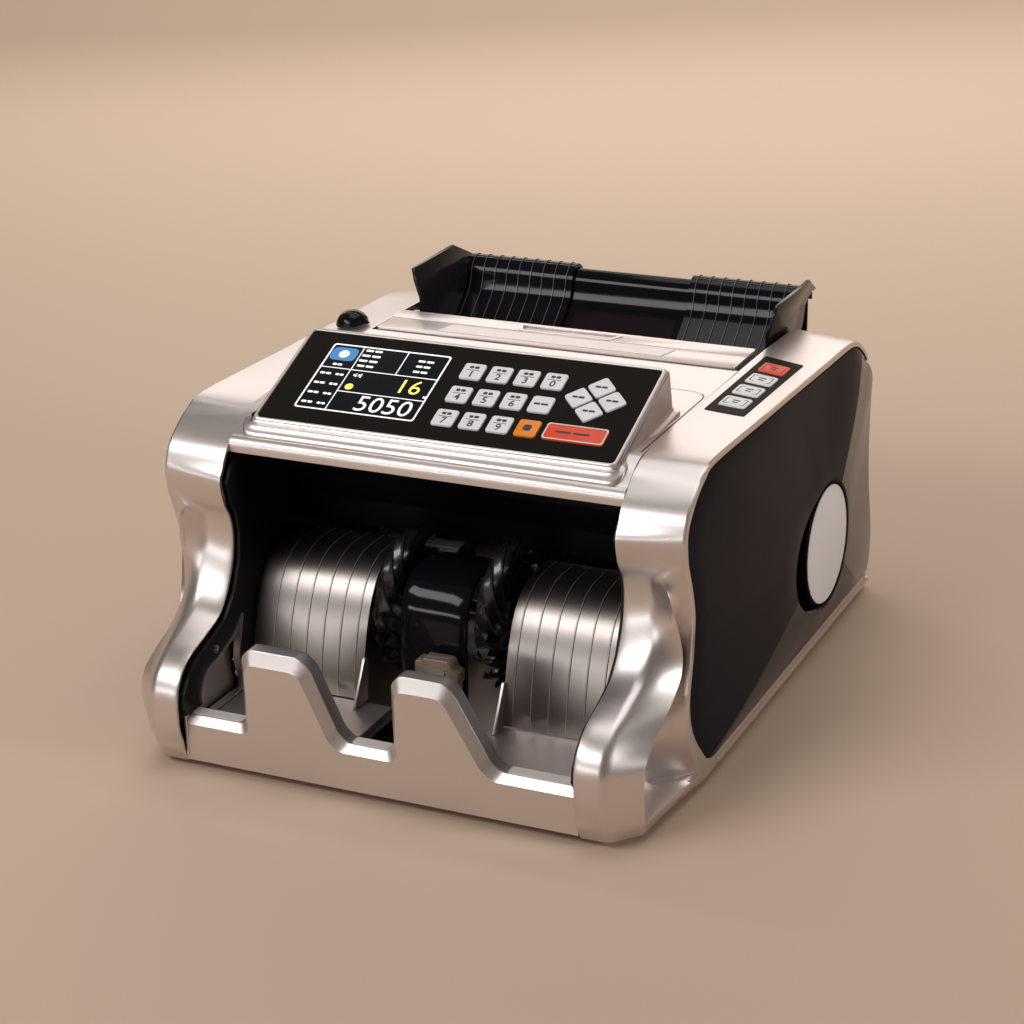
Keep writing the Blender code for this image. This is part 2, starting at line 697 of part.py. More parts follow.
def make_drive():
    hub_x = HALF_WIDTH - 0.4 + COVER_BULGE
    wheel_back = hub_x - HANDWHEEL_THICKNESS
    shaft_end = (wheel_back - GAP, HUB_Y, HUB_Z)
    shaft = cylinder("main_shaft", (-SHAFT_HALF, HUB_Y, HUB_Z), shaft_end, SHAFT_RADIUS)
    start = BELT_X - BELT_WIDTH / 2 - PULLEY_FLANGE
    end = BELT_X + BELT_WIDTH / 2 + PULLEY_FLANGE
    pulley = cylinder("shaft_pulley", (start, HUB_Y, HUB_Z), (end, HUB_Y, HUB_Z), SHAFT_PULLEY_RADIUS)
    add_boolean(shaft, pulley, "UNION")
    give_material(shaft, "steel")

    bore = SHAFT_RADIUS + GAP
    profile = [
        (bore, -ROLLER_HALF), (bore, ROLLER_HALF),
        (ROLLER_RADIUS, ROLLER_HALF), (ROLLER_RADIUS, -ROLLER_HALF),
    ]
    roller = ring("feed_roller", profile, (0, HUB_Y, HUB_Z), (0, math.pi / 2, 0))
    give_material(roller, "rubber")

    rim = HANDWHEEL_RADIUS
    thick = HANDWHEEL_THICKNESS
    profile = [(0, thick), (rim - 1, thick), (rim, thick - 1), (rim, 1), (rim - 1, 0), (0, 0)]
    handwheel = ring("handwheel", profile, (wheel_back, HUB_Y, HUB_Z), (0, math.pi / 2, 0), 48)
    give_material(handwheel, "disc_grey")

    motor_end = BELT_X + BELT_WIDTH / 2 + 4
    motor_far = (motor_end + MOTOR_LENGTH, MOTOR_Y, MOTOR_Z)
    motor = cylinder("drive_motor", (motor_end, MOTOR_Y, MOTOR_Z), motor_far, MOTOR_RADIUS)
    bracket = box(
        "motor_bracket", (motor_end + 8, MOTOR_Y - 14, BASE_BOTTOM + BASE_THICKNESS + GAP),
        (motor_end + 40, MOTOR_Y + 14, MOTOR_Z - 8),
    )
    add_boolean(motor, bracket, "UNION")
    give_material(motor, "steel")
    pulley_end = (end + 2, MOTOR_Y, MOTOR_Z)
    pulley = cylinder("motor_pulley", (start, MOTOR_Y, MOTOR_Z), pulley_end, MOTOR_PULLEY_RADIUS)
    give_material(pulley, "steel")
    make_belt()


def make_belt():
    """A loop over both pulleys, clear of each by the belt's running gap."""
    big = Vector((HUB_Y, HUB_Z))
    small = Vector((MOTOR_Y, MOTOR_Z))
    reach = BELT_CLEARANCE + BELT_THICKNESS
    big_radius = SHAFT_PULLEY_RADIUS + reach
    small_radius = MOTOR_PULLEY_RADIUS + reach
    line = small - big
    heading = math.atan2(line.y, line.x)
    open_angle = math.acos((big_radius - small_radius) / line.length)
    arcs = (
        (big, big_radius, heading + open_angle, heading + 2 * math.pi - open_angle),
        (small, small_radius, heading - open_angle, heading + open_angle),
    )
    path = []
    for centre, radius, first, last in arcs:
        for step in range(13):
            angle = first + (last - first) * step / 12
            path.append((centre.x + radius * math.cos(angle), centre.y + radius * math.sin(angle)))
    rows = [[(BELT_X - BELT_WIDTH / 2, y, z), (BELT_X + BELT_WIDTH / 2, y, z)] for y, z in path]
    bm = loft(rows, closed=True)
    bmesh.ops.reverse_faces(bm, faces=bm.faces)
    belt = add_object("drive_belt", bm)
    add_wall(belt, BELT_THICKNESS)
    give_material(belt, "rubber")


def panel_place():
    turn = Matrix.Rotation(PANEL_TILT, 4, "X")
    return Matrix.Translation(Vector((0, PANEL_Y, PANEL_Z))) @ turn


def panel_box(name, centre, size, low, high, turn=0.0, bevel=0.0):
    """A box on the keypad's plane, from a depth below to a height above its surface."""
    x, y = centre
    width, height = size
    bm = bmesh.new()
    shape = Matrix.Diagonal((width, height, high - low, 1.0))
    bmesh.ops.create_cube(bm, size=1.0, matrix=shape)
    place = panel_place() @ Matrix.Translation((x, y, (low + high) / 2)) @ Matrix.Rotation(turn, 4, "Z")
    obj = add_object(name, bm)
    location = place.to_translation() * MM
    obj.matrix_world = Matrix.LocRotScale(location, place.to_quaternion(), (1, 1, 1))
    if bevel:
        add_bevel(obj, bevel)
    return obj


def key_layout():
    """Name, centre, size, turn and colour of each key on the panel."""
    keys = []
    for row in range(3):
        for column in range(4):
            centre = (KEY_FIRST_X + column * KEY_PITCH_X, KEY_MIDDLE_Y + (1 - row) * KEY_PITCH_Y)
            colour = "key_orange" if (row, column) == (2, 3) else "key_white"
            keys.append((f"panel_key_{row + 1}{column + 1}", centre, (KEY_SIZE, KEY_SIZE), 0.0, colour))
    start = (WIDE_KEY_X, KEY_MIDDLE_Y - KEY_PITCH_Y)
    keys.append(("start_key", start, (WIDE_KEY_WIDTH, WIDE_KEY_HEIGHT), 0.0, "key_red"))
    for name, dx, dy in (("up", 0, 1), ("left", -1, 0), ("right", 1, 0), ("down", 0, -1)):
        centre = (DIAMOND_X + dx * DIAMOND_STEP, DIAMOND_Y + dy * DIAMOND_STEP)
        size = (DIAMOND_SIZE, DIAMOND_SIZE)
        keys.append((f"diamond_key_{name}", centre, size, math.pi / 4, "key_white"))
    return keys


def make_console():
    console = prism("console_housing", CONSOLE_PROFILE, "X", -HALF_INNER, HALF_INNER)
    for vert in console.data.vertices:
        height = max(0.0, vert.co.z / MM - TOP_Z)
        half = HALF_INNER - CONSOLE_SIDE_INSET - CONSOLE_SIDE_TAPER * height
        vert.co.x = math.copysign(half * MM, vert.co.x)
    seat_size = (PANEL_WIDTH + 2 * GAP, PANEL_HEIGHT + 2 * GAP)
    seat = panel_box("panel_seat", (0, 0), seat_size, -PANEL_THICKNESS - GAP, 6.0)
    well_size = (PANEL_WIDTH - 2 * PANEL_RECESS_MARGIN, PANEL_HEIGHT - 2 * PANEL_RECESS_MARGIN)
    well = panel_box("panel_well", (0, 0), well_size, -PANEL_RECESS_DEPTH, 6.0)
    add_boolean(console, seat, "DIFFERENCE")
    add_boolean(console, well, "DIFFERENCE")
    give_material(console, "rose_gold")

    plate = panel_box("keypad_plate", (0, 0), (PANEL_WIDTH, PANEL_HEIGHT), -PANEL_THICKNESS, 0.0)
    for name, centre, size, turn, colour in key_layout():
        hole_size = (size[0] + 2 * GAP, size[1] + 2 * GAP)
        hole = panel_box(name + "_hole", centre, hole_size, -6.0, 3.0, turn)
        add_boolean(plate, hole, "DIFFERENCE")
        key = panel_box(name, centre, size, -KEY_DEPTH, KEY_PROUD, turn, 0.5)
        give_material(key, colour)
    screen_size = (DISPLAY_WIDTH, DISPLAY_HEIGHT)
    seat_size = (DISPLAY_WIDTH + 2 * GAP, DISPLAY_HEIGHT + 2 * GAP)
    seat_depth = -DISPLAY_THICKNESS - GAP
    screen_seat = panel_box("screen_seat", (DISPLAY_X, DISPLAY_Y), seat_size, seat_depth, 3.0)
    add_boolean(plate, screen_seat, "DIFFERENCE")
    give_material(plate, "keypad_black")
    screen = panel_box("display_screen", (DISPLAY_X, DISPLAY_Y), screen_size, -DISPLAY_THICKNESS, 0.0)
    give_material(screen, "screen_glass")


def make_top_cover():
    half = HALF_INNER - 2 * GAP
    cover = prism("top_cover", TOP_PROFILE, "X", -half, half)
    window_half = PANEL_WIDTH / 2 - PANEL_RECESS_MARGIN
    window = box("console_window", (-window_half, -92, 150), (window_half, -35, 190))
    add_boolean(cover, window, "DIFFERENCE")
    give_material(cover, "rose_gold")


def band_place(x, y):
    """A frame lying on the top band at one point, tilted with the band's outward fall."""
    side = math.copysign(1.0, x)
    share = (abs(x) - HALF_INNER) / (HALF_WIDTH - HALF_INNER)
    inner_z = TOP_Z - BAND_INNER_DROP * max(0.0, y)
    outer_z = TOP_Z - BAND_EDGE_DROP - BAND_OUTER_DROP * y
    fall = math.atan2(inner_z - outer_z, HALF_WIDTH - HALF_INNER) * side
    pitch = -math.atan(BAND_OUTER_DROP) * share
    height = inner_z + (outer_z - inner_z) * share + BAND_LIFT
    turn = Matrix.Rotation(fall, 4, "Y") @ Matrix.Rotation(pitch, 4, "X")
    return Matrix.Translation((x, y, height)) @ turn


def band_box(name, place, centre, size, low, high, bevel=0.0):
    x, y = centre
    bm = bmesh.new()
    bmesh.ops.create_cube(bm, size=1.0, matrix=Matrix.Diagonal((size[0], size[1], high - low, 1.0)))
    world = place @ Matrix.Translation((x, y, (low + high) / 2))
    obj = add_object(name, bm)
    obj.matrix_world = Matrix.LocRotScale(world.to_translation() * MM, world.to_quaternion(), (1, 1, 1))
    if bevel:
        add_bevel(obj, bevel)
    return obj


def make_side_keys(right_shell):
    place = band_place(STRIP_X, STRIP_Y)
    window_size = (STRIP_WIDTH - 4, STRIP_LENGTH - 6)
    window = band_box("strip_window", place, (0, 0), window_size, -12, 6)
    add_boolean(right_shell, window, "DIFFERENCE")
    plate_low = GAP
    plate_high = GAP + STRIP_THICKNESS
    plate = band_box("side_key_plate", place, (0, 0), (STRIP_WIDTH, STRIP_LENGTH), plate_low, plate_high)
    for index in range(4):
        centre = (0, (index - 1.5) * SIDE_KEY_PITCH)
        hole_size = (SIDE_KEY_WIDTH + 2 * GAP, SIDE_KEY_LENGTH + 2 * GAP)
        hole = band_box(f"side_key_{index + 1}_hole", place, centre, hole_size, -6, 6)
        add_boolean(plate, hole, "DIFFERENCE")
        size = (SIDE_KEY_WIDTH, SIDE_KEY_LENGTH)
        key = band_box(f"side_key_{index + 1}", place, centre, size, -1.2, plate_high + KEY_PROUD, 0.5)
        give_material(key, "key_red" if index == 3 else "key_white")
    give_material(plate, "keypad_black")


def make_knob():
    place = band_place(KNOB_X, KNOB_Y)
    reach = KNOB_RADIUS
    profile = [
        (0, KNOB_HEIGHT), (reach * 0.5, 8.2), (reach * 0.8, 6.2), (reach * 0.95, 3.5), (reach, 1.3),
        (reach - 1.0, GAP), (0, GAP),
    ]
    knob = ring("thickness_knob", profile, (0, 0, 0), (0, 0, 0), 24)
    knob.location = place.to_translation() * MM
    knob.rotation_euler = place.to_euler()
    give_material(knob, "gloss_black")


def make_flap():
    low = (-FLAP_HALF, FLAP_FRONT, FLAP_TOP - FLAP_THICKNESS)
    high = (FLAP_HALF, FLAP_REAR, FLAP_TOP)
    flap = box("access_flap", low, high, 0.8)
    move_origin(flap, (0, FLAP_HINGE_Y, FLAP_HINGE_Z))
    give_material(flap, "rose_gold")


def make_hopper():
    tray = ribbon("hopper_tray", TRAY_PROFILE, -HOPPER_HALF, HOPPER_HALF, WALL)
    give_material(tray, "satin_black")
    saddle_line = offset_line(TRAY_PROFILE[2:11], SADDLE_LIFT)
    wing_foot = offset_line(TRAY_PROFILE[2:10], SADDLE_LIFT - WALL / 2)[::-1]
    for name, side in (("hopper_guide_left", -1), ("hopper_guide_right", 1)):
        inner = side * SADDLE_INNER
        outer = side * WING_X
        saddle = ribbon(name, saddle_line, min(inner, outer), max(inner, outer), WALL)
        start = side * WING_X - WING_THICKNESS / 2
        wing = prism(name + "_wing", WING_TOP + wing_foot, "X", start, start + WING_THICKNESS)
        flare_wing(wing, side)
        add_boolean(saddle, wing, "UNION")
        give_material(saddle, "gloss_black")


def flare_wing(wing, side):
    """Lean the wing outward above the height where the flare starts."""
    bm = bmesh.new()
    bm.from_mesh(wing.data)
    everything = bm.verts[:] + bm.edges[:] + bm.faces[:]
    level = WING_FLARE_FROM * MM
    bmesh.ops.bisect_plane(bm, geom=everything, plane_co=(0, 0, level), plane_no=(0, 0, 1))
    for vert in bm.verts:
        vert.co.x += side * WING_FLARE * max(0.0, vert.co.z - level)
    bm.to_mesh(wing.data)
    bm.free()


def make_rear():
    half = HALF_WIDTH - COVER_WALL - 4 * GAP
    rear = ribbon("rear_cover", REAR_PROFILE, -half, half, COVER_WALL)
    openings = {
        "power_inlet": (INLET_X, INLET_WIDTH, INLET_HEIGHT),
        "power_switch": (SWITCH_X, SWITCH_WIDTH, SWITCH_HEIGHT),
    }
    for name, (x, width, height) in openings.items():
        low = (x - width / 2 - GAP, REAR_Y - 10, INLET_Z - height / 2 - GAP)
        high = (x + width / 2 + GAP, REAR_Y + 5, INLET_Z + height / 2 + GAP)
        add_boolean(rear, box(name + "_opening", low, high), "DIFFERENCE")
    give_material(rear, "satin_black")

    low = (INLET_X - INLET_WIDTH / 2, REAR_Y - INLET_DEPTH, INLET_Z - INLET_HEIGHT / 2)
    high = (INLET_X + INLET_WIDTH / 2, REAR_Y + 1.5, INLET_Z + INLET_HEIGHT / 2)
    inlet = box("power_inlet", low, high)
    socket_low = (INLET_X - SOCKET_HALF_WIDTH, REAR_Y - SOCKET_DEPTH, INLET_Z - SOCKET_HALF_HEIGHT)
    socket_high = (INLET_X + SOCKET_HALF_WIDTH, REAR_Y + 5, INLET_Z + SOCKET_HALF_HEIGHT)
    add_boolean(inlet, box("inlet_socket", socket_low, socket_high), "DIFFERENCE")
    give_material(inlet, "satin_black")

    half_width = SWITCH_WIDTH / 2 - SWITCH_MARGIN_X
    half_height = SWITCH_HEIGHT / 2 - SWITCH_MARGIN_Z
    low = (SWITCH_X - half_width, REAR_Y - 6, INLET_Z - half_height)
    high = (SWITCH_X + half_width, REAR_Y + 1.0, INLET_Z + half_height)
    switch = box("power_switch", low, high, 0.6)
    move_origin(switch, (SWITCH_X, REAR_Y - SWITCH_PIVOT_DEPTH, INLET_Z))
    give_material(switch, "satin_black")


def make_control_board():
    level = BASE_BOTTOM + BASE_THICKNESS + BOARD_LIFT
    board = box("control_board", (-10, 102, level), (95, 164, level + BOARD_THICKNESS))
    transformer = box("transformer", (15, 112, level + 1), (58, 150, level + 1 + TRANSFORMER_HEIGHT))
    add_boolean(board, transformer, "UNION")
    give_material(board, "board_green")


def main():
    make_base()
    make_shell("left_shell", -1)
    right_shell = make_shell("right_shell", 1)
    make_side_cover("left_side_cover", -1, False)
    make_side_cover("right_side_cover", 1, True)
    make_frame("left_frame", -1)
    make_frame("right_frame", 1)
    make_front_plate()
    make_stacker_pocket()
    make_stacker_wheels()
    make_drive()
    make_top_cover()
    make_console()
    make_side_keys(right_shell)
    make_knob()
    make_flap()
    make_hopper()
    make_rear()
    make_control_board()


clear_scene()
PARTS = make_collection("banknote_counter")
CUTTERS = make_collection("cutters")
CUTTERS.hide_render = True
main()
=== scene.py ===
import math

import bmesh
import bpy
from mathutils import Matrix, Vector


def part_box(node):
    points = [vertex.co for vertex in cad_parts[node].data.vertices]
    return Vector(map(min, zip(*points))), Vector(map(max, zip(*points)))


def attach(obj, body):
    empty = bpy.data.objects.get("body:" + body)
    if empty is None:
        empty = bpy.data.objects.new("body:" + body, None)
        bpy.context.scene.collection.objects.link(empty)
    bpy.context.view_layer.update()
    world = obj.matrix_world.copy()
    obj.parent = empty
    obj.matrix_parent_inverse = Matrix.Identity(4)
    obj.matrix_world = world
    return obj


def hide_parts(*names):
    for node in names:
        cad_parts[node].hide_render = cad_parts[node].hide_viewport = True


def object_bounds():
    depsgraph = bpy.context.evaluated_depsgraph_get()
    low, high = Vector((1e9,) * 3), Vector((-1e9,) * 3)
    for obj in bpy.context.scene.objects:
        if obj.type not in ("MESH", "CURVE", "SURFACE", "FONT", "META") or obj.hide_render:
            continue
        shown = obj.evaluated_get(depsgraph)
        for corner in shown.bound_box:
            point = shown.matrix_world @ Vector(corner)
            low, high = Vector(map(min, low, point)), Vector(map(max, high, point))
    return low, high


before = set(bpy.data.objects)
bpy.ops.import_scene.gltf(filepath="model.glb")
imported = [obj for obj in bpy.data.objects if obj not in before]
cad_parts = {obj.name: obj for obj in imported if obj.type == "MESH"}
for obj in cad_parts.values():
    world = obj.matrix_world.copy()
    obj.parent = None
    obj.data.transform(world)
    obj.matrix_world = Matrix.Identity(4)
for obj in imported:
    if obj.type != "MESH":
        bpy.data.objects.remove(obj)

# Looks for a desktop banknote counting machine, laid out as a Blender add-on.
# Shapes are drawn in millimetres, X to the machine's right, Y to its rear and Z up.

bl_info = {
    "name": "Banknote counter",
    "version": (1, 0, 0),
    "blender": (4, 5, 0),
    "location": "View3D > Sidebar > Counter",
    "description": "Builds the detailed pieces and finishes of a banknote counter",
    "category": "Object",
}

CAD_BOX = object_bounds()
MM = 0.001

# Sizes shared with the solid model
HALF_WIDTH = 150.0
HALF_INNER = 114.0
FRONT_Y = -178.0
TOP_Z = 177.0
SIDE_X = 149.6
HUB_Y = 83.5
HUB_Z = 67.0
HUB_RIM = 38.0
FINGER_REACH = 17.0
DISH_DEPTH = 10.0
WHEEL_Y = -80.0
WHEEL_Z = 73.0
WHEEL_RADIUS = 41.0
WHEEL_HUB = 13.0
STACKER_CENTRE = 1.5
WHEEL_OFFSET = 29.5
PANEL_WIDTH = 206.0
PANEL_HEIGHT = 72.6
PANEL_TILT = math.radians(22.2)
PANEL_Y = -67.1
PANEL_Z = 188.7
KEY_PROUD = 0.9
BAND_CROWN = 0.55
STRIP_X = 129.5
STRIP_Y = 34.0
KNOB_X = -131.0
KNOB_Y = 58.5
INLET_X = -70.0
INLET_Z = 42.0
SWITCH_X = -98.0
REAR_Y = 174.5
HANDWHEEL_RADIUS = 35.8
COVER_BULGE = 6.0
STRIP_HALF = 48.0
SIDE_KEY_PITCH = 20.3
KEY_SIZE = 12.4
KEY_PITCH_X = 15.8
KEY_PITCH_Y = 18.7

# Camera: heading, dip and roll in degrees, and distance in millimetres
CAMERA_ANGLES = (25.8, 21.9, -2.0)
CAMERA_DISTANCE = 1431.4

# Floor, in metres: where its flat part ends, the radius of its rise and the height of the wall
FLOOR_FLAT = 2.9
FLOOR_SWEEP = 1.2
WALL_TOP = 5.0

# Inner edge (y, z), outer ridge (x, y, z), finger pocket (x, y, z), rim (y, z) and
# border (y, z) of a leg, from the bottom up
LEG_ROWS = [
    ((-80, 4.0), (140, -80, 4.0), (146, -80, 4.0), (-80, 4.0), (-74, 11.3)),
    ((-177, 4.0), (142.5, -162.5, 4.0), (146, -122, 4.0), (-93, 4.0), (-85, 11.6)),
    ((-180.5, 11), (144.5, -165, 11), (147.5, -124, 11), (-102, 10), (-93.5, 15)),
    ((-181.5, 16), (144.8, -166, 15), (129, -126, 13.0), (-107, 16), (-99.5, 21)),
    ((-184, 25), (145.5, -168, 26), (128, -130, 28), (-115.5, 30), (-109, 32.5)),
    ((-184.2, 34), (146, -168.5, 37), (129, -132, 38), (-119.8, 42), (-114.6, 43)),
    ((-183, 45), (146, -165, 46.5), (131, -130, 47), (-121, 52), (-116.4, 52)),
    ((-177.5, 54), (146, -152, 54), (133, -125, 56), (-120.8, 60), (-116.1, 60)),
    ((-167, 61.5), (146, -135, 61.5), (136, -118, 65), (-118.5, 70), (-113.8, 70)),
    ((-152, 66), (146.5, -121, 72), (139.5, -112, 75), (-116, 80), (-111.2, 80)),
    ((-137, 71.5), (146.5, -117.5, 83), (141.5, -110.5, 85), (-114, 91), (-109.2, 91)),
    ((-126.5, 82), (145.5, -119, 95), (143, -112.5, 96), (-113, 101), (-108.2, 101)),
    ((-118.5, 98), (144, -122.5, 107), (144.2, -116, 107), (-114, 110), (-109.4, 110)),
    ((-116.5, 112), (141.8, -124, 118), (145.4, -119.5, 118), (-116.5, 119), (-111.9, 119)),
    ((-118.5, 123), (139, -122.3, 126), (145.5, -120.8, 126), (-119.5, 128), (-115, 128)),
]

# Inner edge, rim and border of the upper lobe and the top band
BAND_ROWS = [
    ((-122.5, 130), (-121.5, 134), (-117, 134)),
    ((-125.5, 144), (-122.3, 145), (-117.8, 145)),
    ((-121.5, 151.5), (-120.5, 152), (-116.2, 151.5)),
    ((-116.5, 159.5), (-116.5, 159), (-113, 156)),
    ((-107, 167), (-107.5, 166.5), (-104.5, 164)),
    ((-96.5, 173.5), (-95.5, 172.8), (-93.5, 170)),
    ((-78, 177), (-79.5, 176.5), (-79, 173.8)),
    ((-15, 177), (-15.5, 174.2), (-15.5, 171.8)),
    ((48, 176.6), (48.5, 172), (48.5, 169.6)),
    ((100, 175.6), (99.5, 170), (99.5, 167.6)),
    ((143, 172.5), (143.5, 168), (143, 165.6)),
    ((160, 163), (162, 159.5), (161, 157.5)),
    ((170, 153), (172, 150), (170.5, 148.5)),
]

COVER_FOOT = 11.3
COVER_BACK = 184.2
COVER_REAR = [
    (178.5, 143), (182.5, 135), (180.5, 121), (178.5, 96),
    (179.5, 70), (184.5, 42), (185, 28), (180, 14), (170, COVER_FOOT),
]

LEAF_EDGE = [
    (-162.5, 22.6), (-121, 22.6), (-121.5, 30), (-124, 40), (-123, 48),
    (-120, 57), (-117.5, 66), (-127, 58), (-140, 53), (-153, 49.5), (-161, 45),
    (-164.5, 38), (-164.5, 31.4),
]

# Outer edge of the front plate, and the edge of its flat face inside the chamfer
PLATE_EDGE = [
    (-113.9, 4.2), (-113.9, 31), (-80, 31), (-78, 33), (-78, 70), (-73.5, 74.8),
    (-44, 74.8), (-37.5, 70), (-22.5, 36), (-17, 31), (6.5, 31), (10, 34), (10, 70),
    (14.5, 74.8), (40, 74.8), (45.5, 70.5), (65, 35.5), (71, 31), (113.9, 31), (113.9, 4.2),
]
PLATE_FACE = [
    (-113.9, 5.4), (-113.9, 26.5), (-77.5, 26.5), (-75, 29), (-75, 64.5), (-71.5, 67.4),
    (-46.5, 67.4), (-42, 64.5), (-27.5, 32), (-20.5, 26.5), (9.5, 26.5), (13, 30), (13, 64.5),
    (16.5, 67.4), (37.5, 67.4), (41.5, 64.5), (60.5, 31.5), (67.5, 26.5), (113.9, 26.5), (113.9, 5.4),
]

GUIDE_PROFILE = [
    (-112, 22.6), (-110.5, 35), (-107, 50), (-102, 65), (-96, 77), (-88.5, 86),
    (-79, 91.5), (-68, 93.5), (-50, 93),
]

HOOD_PROFILE = [
    (-117, 13), (-114, 18), (-113, 50), (-110.5, 75), (-106, 87),
    (-98, 95), (-87, 98), (-72, 97), (-60, 94),
]

COVER_TOP = [
    (-113.5, 158), (-113, 163), (-110.5, 165.8), (-107.5, 167), (-98, 173.5), (-89, 177),
    (60, 177),
]

TRAY_PROFILE = [
    (88, 112), (104, 121), (122, 133), (140, 146), (153.5, 156), (165, 165.5), (169.5, 173),
    (172, 180), (176.5, 184.5), (181, 183.5), (183.6, 178), (182, 152),
]

WING_TOP = [(106.5, 127), (106.5, 190), (108.5, 197), (162, 197), (182.5, 186.2)]

REAR_PROFILE = [
    (174.8, 149), (178.3, 143), (180, 136), (176.5, 121), (REAR_Y, 96), (REAR_Y, 8),
]


# ---------------------------------------------------------------- shapes


def smooth_line(points, steps, closed=False):
    """More points along a smooth curve that passes through every given point."""
    line = [Vector(point) for point in points]
    count = len(line)
    result = []
    for span in range(count if closed else count - 1):
        near = []
        for shift in (-1, 0, 1, 2):
            index = span + shift
            near.append(line[index % count] if closed else line[min(max(index, 0), count - 1)])
        a, b, c, d = near
        for step in range(steps):
            t = step / steps
            bend = (2 * a - 5 * b + 4 * c - d) * t * t + (3 * b - a - 3 * c + d) * t ** 3
            result.append((2 * b + (c - a) * t + bend) * 0.5)
    if not closed:
        result.append(line[-1])
    return result


def smooth_rows(rows, steps):
    """More rows between the given rows of points, column by column."""
    columns = [smooth_line(column, steps) for column in zip(*rows)]
    return list(zip(*columns))


def rounded(points, radius, steps=4):
    """A closed outline with rounded corners, steps + 1 points to each; radius may be a list."""
    corners = [Vector(point) for point in points]
    radii = radius if isinstance(radius, (list, tuple)) else [radius] * len(corners)
    result = []
    for index, corner in enumerate(corners):
        radius = radii[index]
        back = corners[index - 1] - corner
        ahead = corners[(index + 1) % len(corners)] - corner
        start = corner + back.normalized() * min(radius, back.length * 0.45)
        end = corner + ahead.normalized() * min(radius, ahead.length * 0.45)
        for step in range(steps + 1):
            t = step / steps
            result.append(start * (1 - t) ** 2 + corner * (2 * t * (1 - t)) + end * t * t)
    return result


def rectangle(half_width, half_height, radius, centre=(0, 0), steps=4):
    x, y = centre
    corners = [
        (x - half_width, y - half_height), (x + half_width, y - half_height),
        (x + half_width, y + half_height), (x - half_width, y + half_height),
    ]
    return rounded(corners, radius, steps)


def offset_line(points, distance):
    """The line moved sideways by a distance, to its left as it runs."""
    moved = []
    for index, point in enumerate(points):
        before = Vector(points[max(index - 1, 0)][:2])
        after = Vector(points[min(index + 1, len(points) - 1)][:2])
        run = (after - before).normalized()
        moved.append(Vector((point[0] - run.y * distance, point[1] + run.x * distance)))
    return moved


def height_at(profile, y):
    """The height of a profile that runs rearward, at one y."""
    for (y0, z0), (y1, z1) in zip(profile, profile[1:]):
        if y0 <= y <= y1:
            return z0 + (z1 - z0) * (y - y0) / (y1 - y0)
    return profile[0][1] if y < profile[0][0] else profile[-1][1]


def sheet(rows, around=False, lengthwise=False):
    """A grid of faces; around joins each row's ends, lengthwise joins the last row to the first."""
    bm = bmesh.new()
    grid = [[bm.verts.new(point) for point in row] for row in rows]
    if lengthwise:
        grid.append(grid[0])
    for lower, upper in zip(grid, grid[1:]):
        count = len(lower)
        for index in range(count if around else count - 1):
            after = (index + 1) % count
            bm.faces.new((lower[index], lower[after], upper[after], upper[index]))
    return bm


def stack(loops):
    """A closed solid skin over a stack of closed loops, with both ends filled."""
    bm = sheet(loops, around=True)
    bm.verts.ensure_lookup_table()
    count = len(loops[0])
    bm.faces.new(bm.verts[:count])
    bm.faces.new(bm.verts[-count:])
    bmesh.ops.recalc_face_normals(bm, faces=bm.faces)
    return bm


def lie(points, axis, level):
    """Flat points put in space, with the given axis at one level."""
    if axis == "X":
        return [(level, u, v) for u, v in points]
    if axis == "Y":
        return [(u, level, v) for u, v in points]
    return [(u, v, level) for u, v in points]


def prism(points, axis, low, high):
    return stack([lie(points, axis, low), lie(points, axis, high)])


def block(low, high):
    points = [(low[0], low[1]), (high[0], low[1]), (high[0], high[1]), (low[0], high[1])]
    return prism(points, "Z", low[2], high[2])


def turned(profile, centre, axis="Z", steps=48):
    """A closed (radius, height) loop turned about an axis through centre."""
    rows = []
    for step in range(steps):
        angle = 2 * math.pi * step / steps
        row = []
        for radius, height in profile:
            u = radius * math.cos(angle)
            v = radius * math.sin(angle)
            point = {"X": (height, u, v), "Y": (u, height, v), "Z": (u, v, height)}[axis]
            row.append(Vector(centre) + Vector(point))
        rows.append(row)
    bm = sheet(rows, around=True, lengthwise=True)
    bmesh.ops.remove_doubles(bm, verts=bm.verts, dist=0.001)
    bmesh.ops.dissolve_degenerate(bm, edges=bm.edges, dist=0.0005)
    bmesh.ops.recalc_face_normals(bm, faces=bm.faces)
    return bm


def bent(bm, wall=0.0, bevel=0.0, segments=2, cutters=(), angle=40):
    """The shape after a wall, cuts and rounded edges, made with Blender's own modifiers."""
    obj = bpy.data.objects.new("work", mesh_of(bm, "work"))
    bpy.context.scene.collection.objects.link(obj)
    if wall:
        modifier = obj.modifiers.new("wall", "SOLIDIFY")
        modifier.thickness = wall
        modifier.offset = -1.0
        modifier.use_even_offset = True
    tools = []
    for cutter in cutters:
        tool = bpy.data.objects.new("cutter", mesh_of(cutter, "cutter"))
        bpy.context.scene.collection.objects.link(tool)
        modifier = obj.modifiers.new("cut", "BOOLEAN")
        modifier.operation = "DIFFERENCE"
        modifier.solver = "EXACT"
        modifier.object = tool
        tools.append(tool)
    if bevel:
        modifier = obj.modifiers.new("edges", "BEVEL")
        modifier.width = bevel
        modifier.segments = segments
        modifier.limit_method = "ANGLE"
        modifier.angle_limit = math.radians(angle)
    bpy.context.view_layer.update()
    result = bmesh.new()
    result.from_object(obj, bpy.context.evaluated_depsgraph_get())
    for item in [obj, *tools]:
        mesh = item.data
        bpy.data.objects.remove(item)
        bpy.data.meshes.remove(mesh)
    return result


def mesh_of(bm, name):
    mesh = bpy.data.meshes.new(name)
    bm.to_mesh(mesh)
    bm.free()
    return mesh


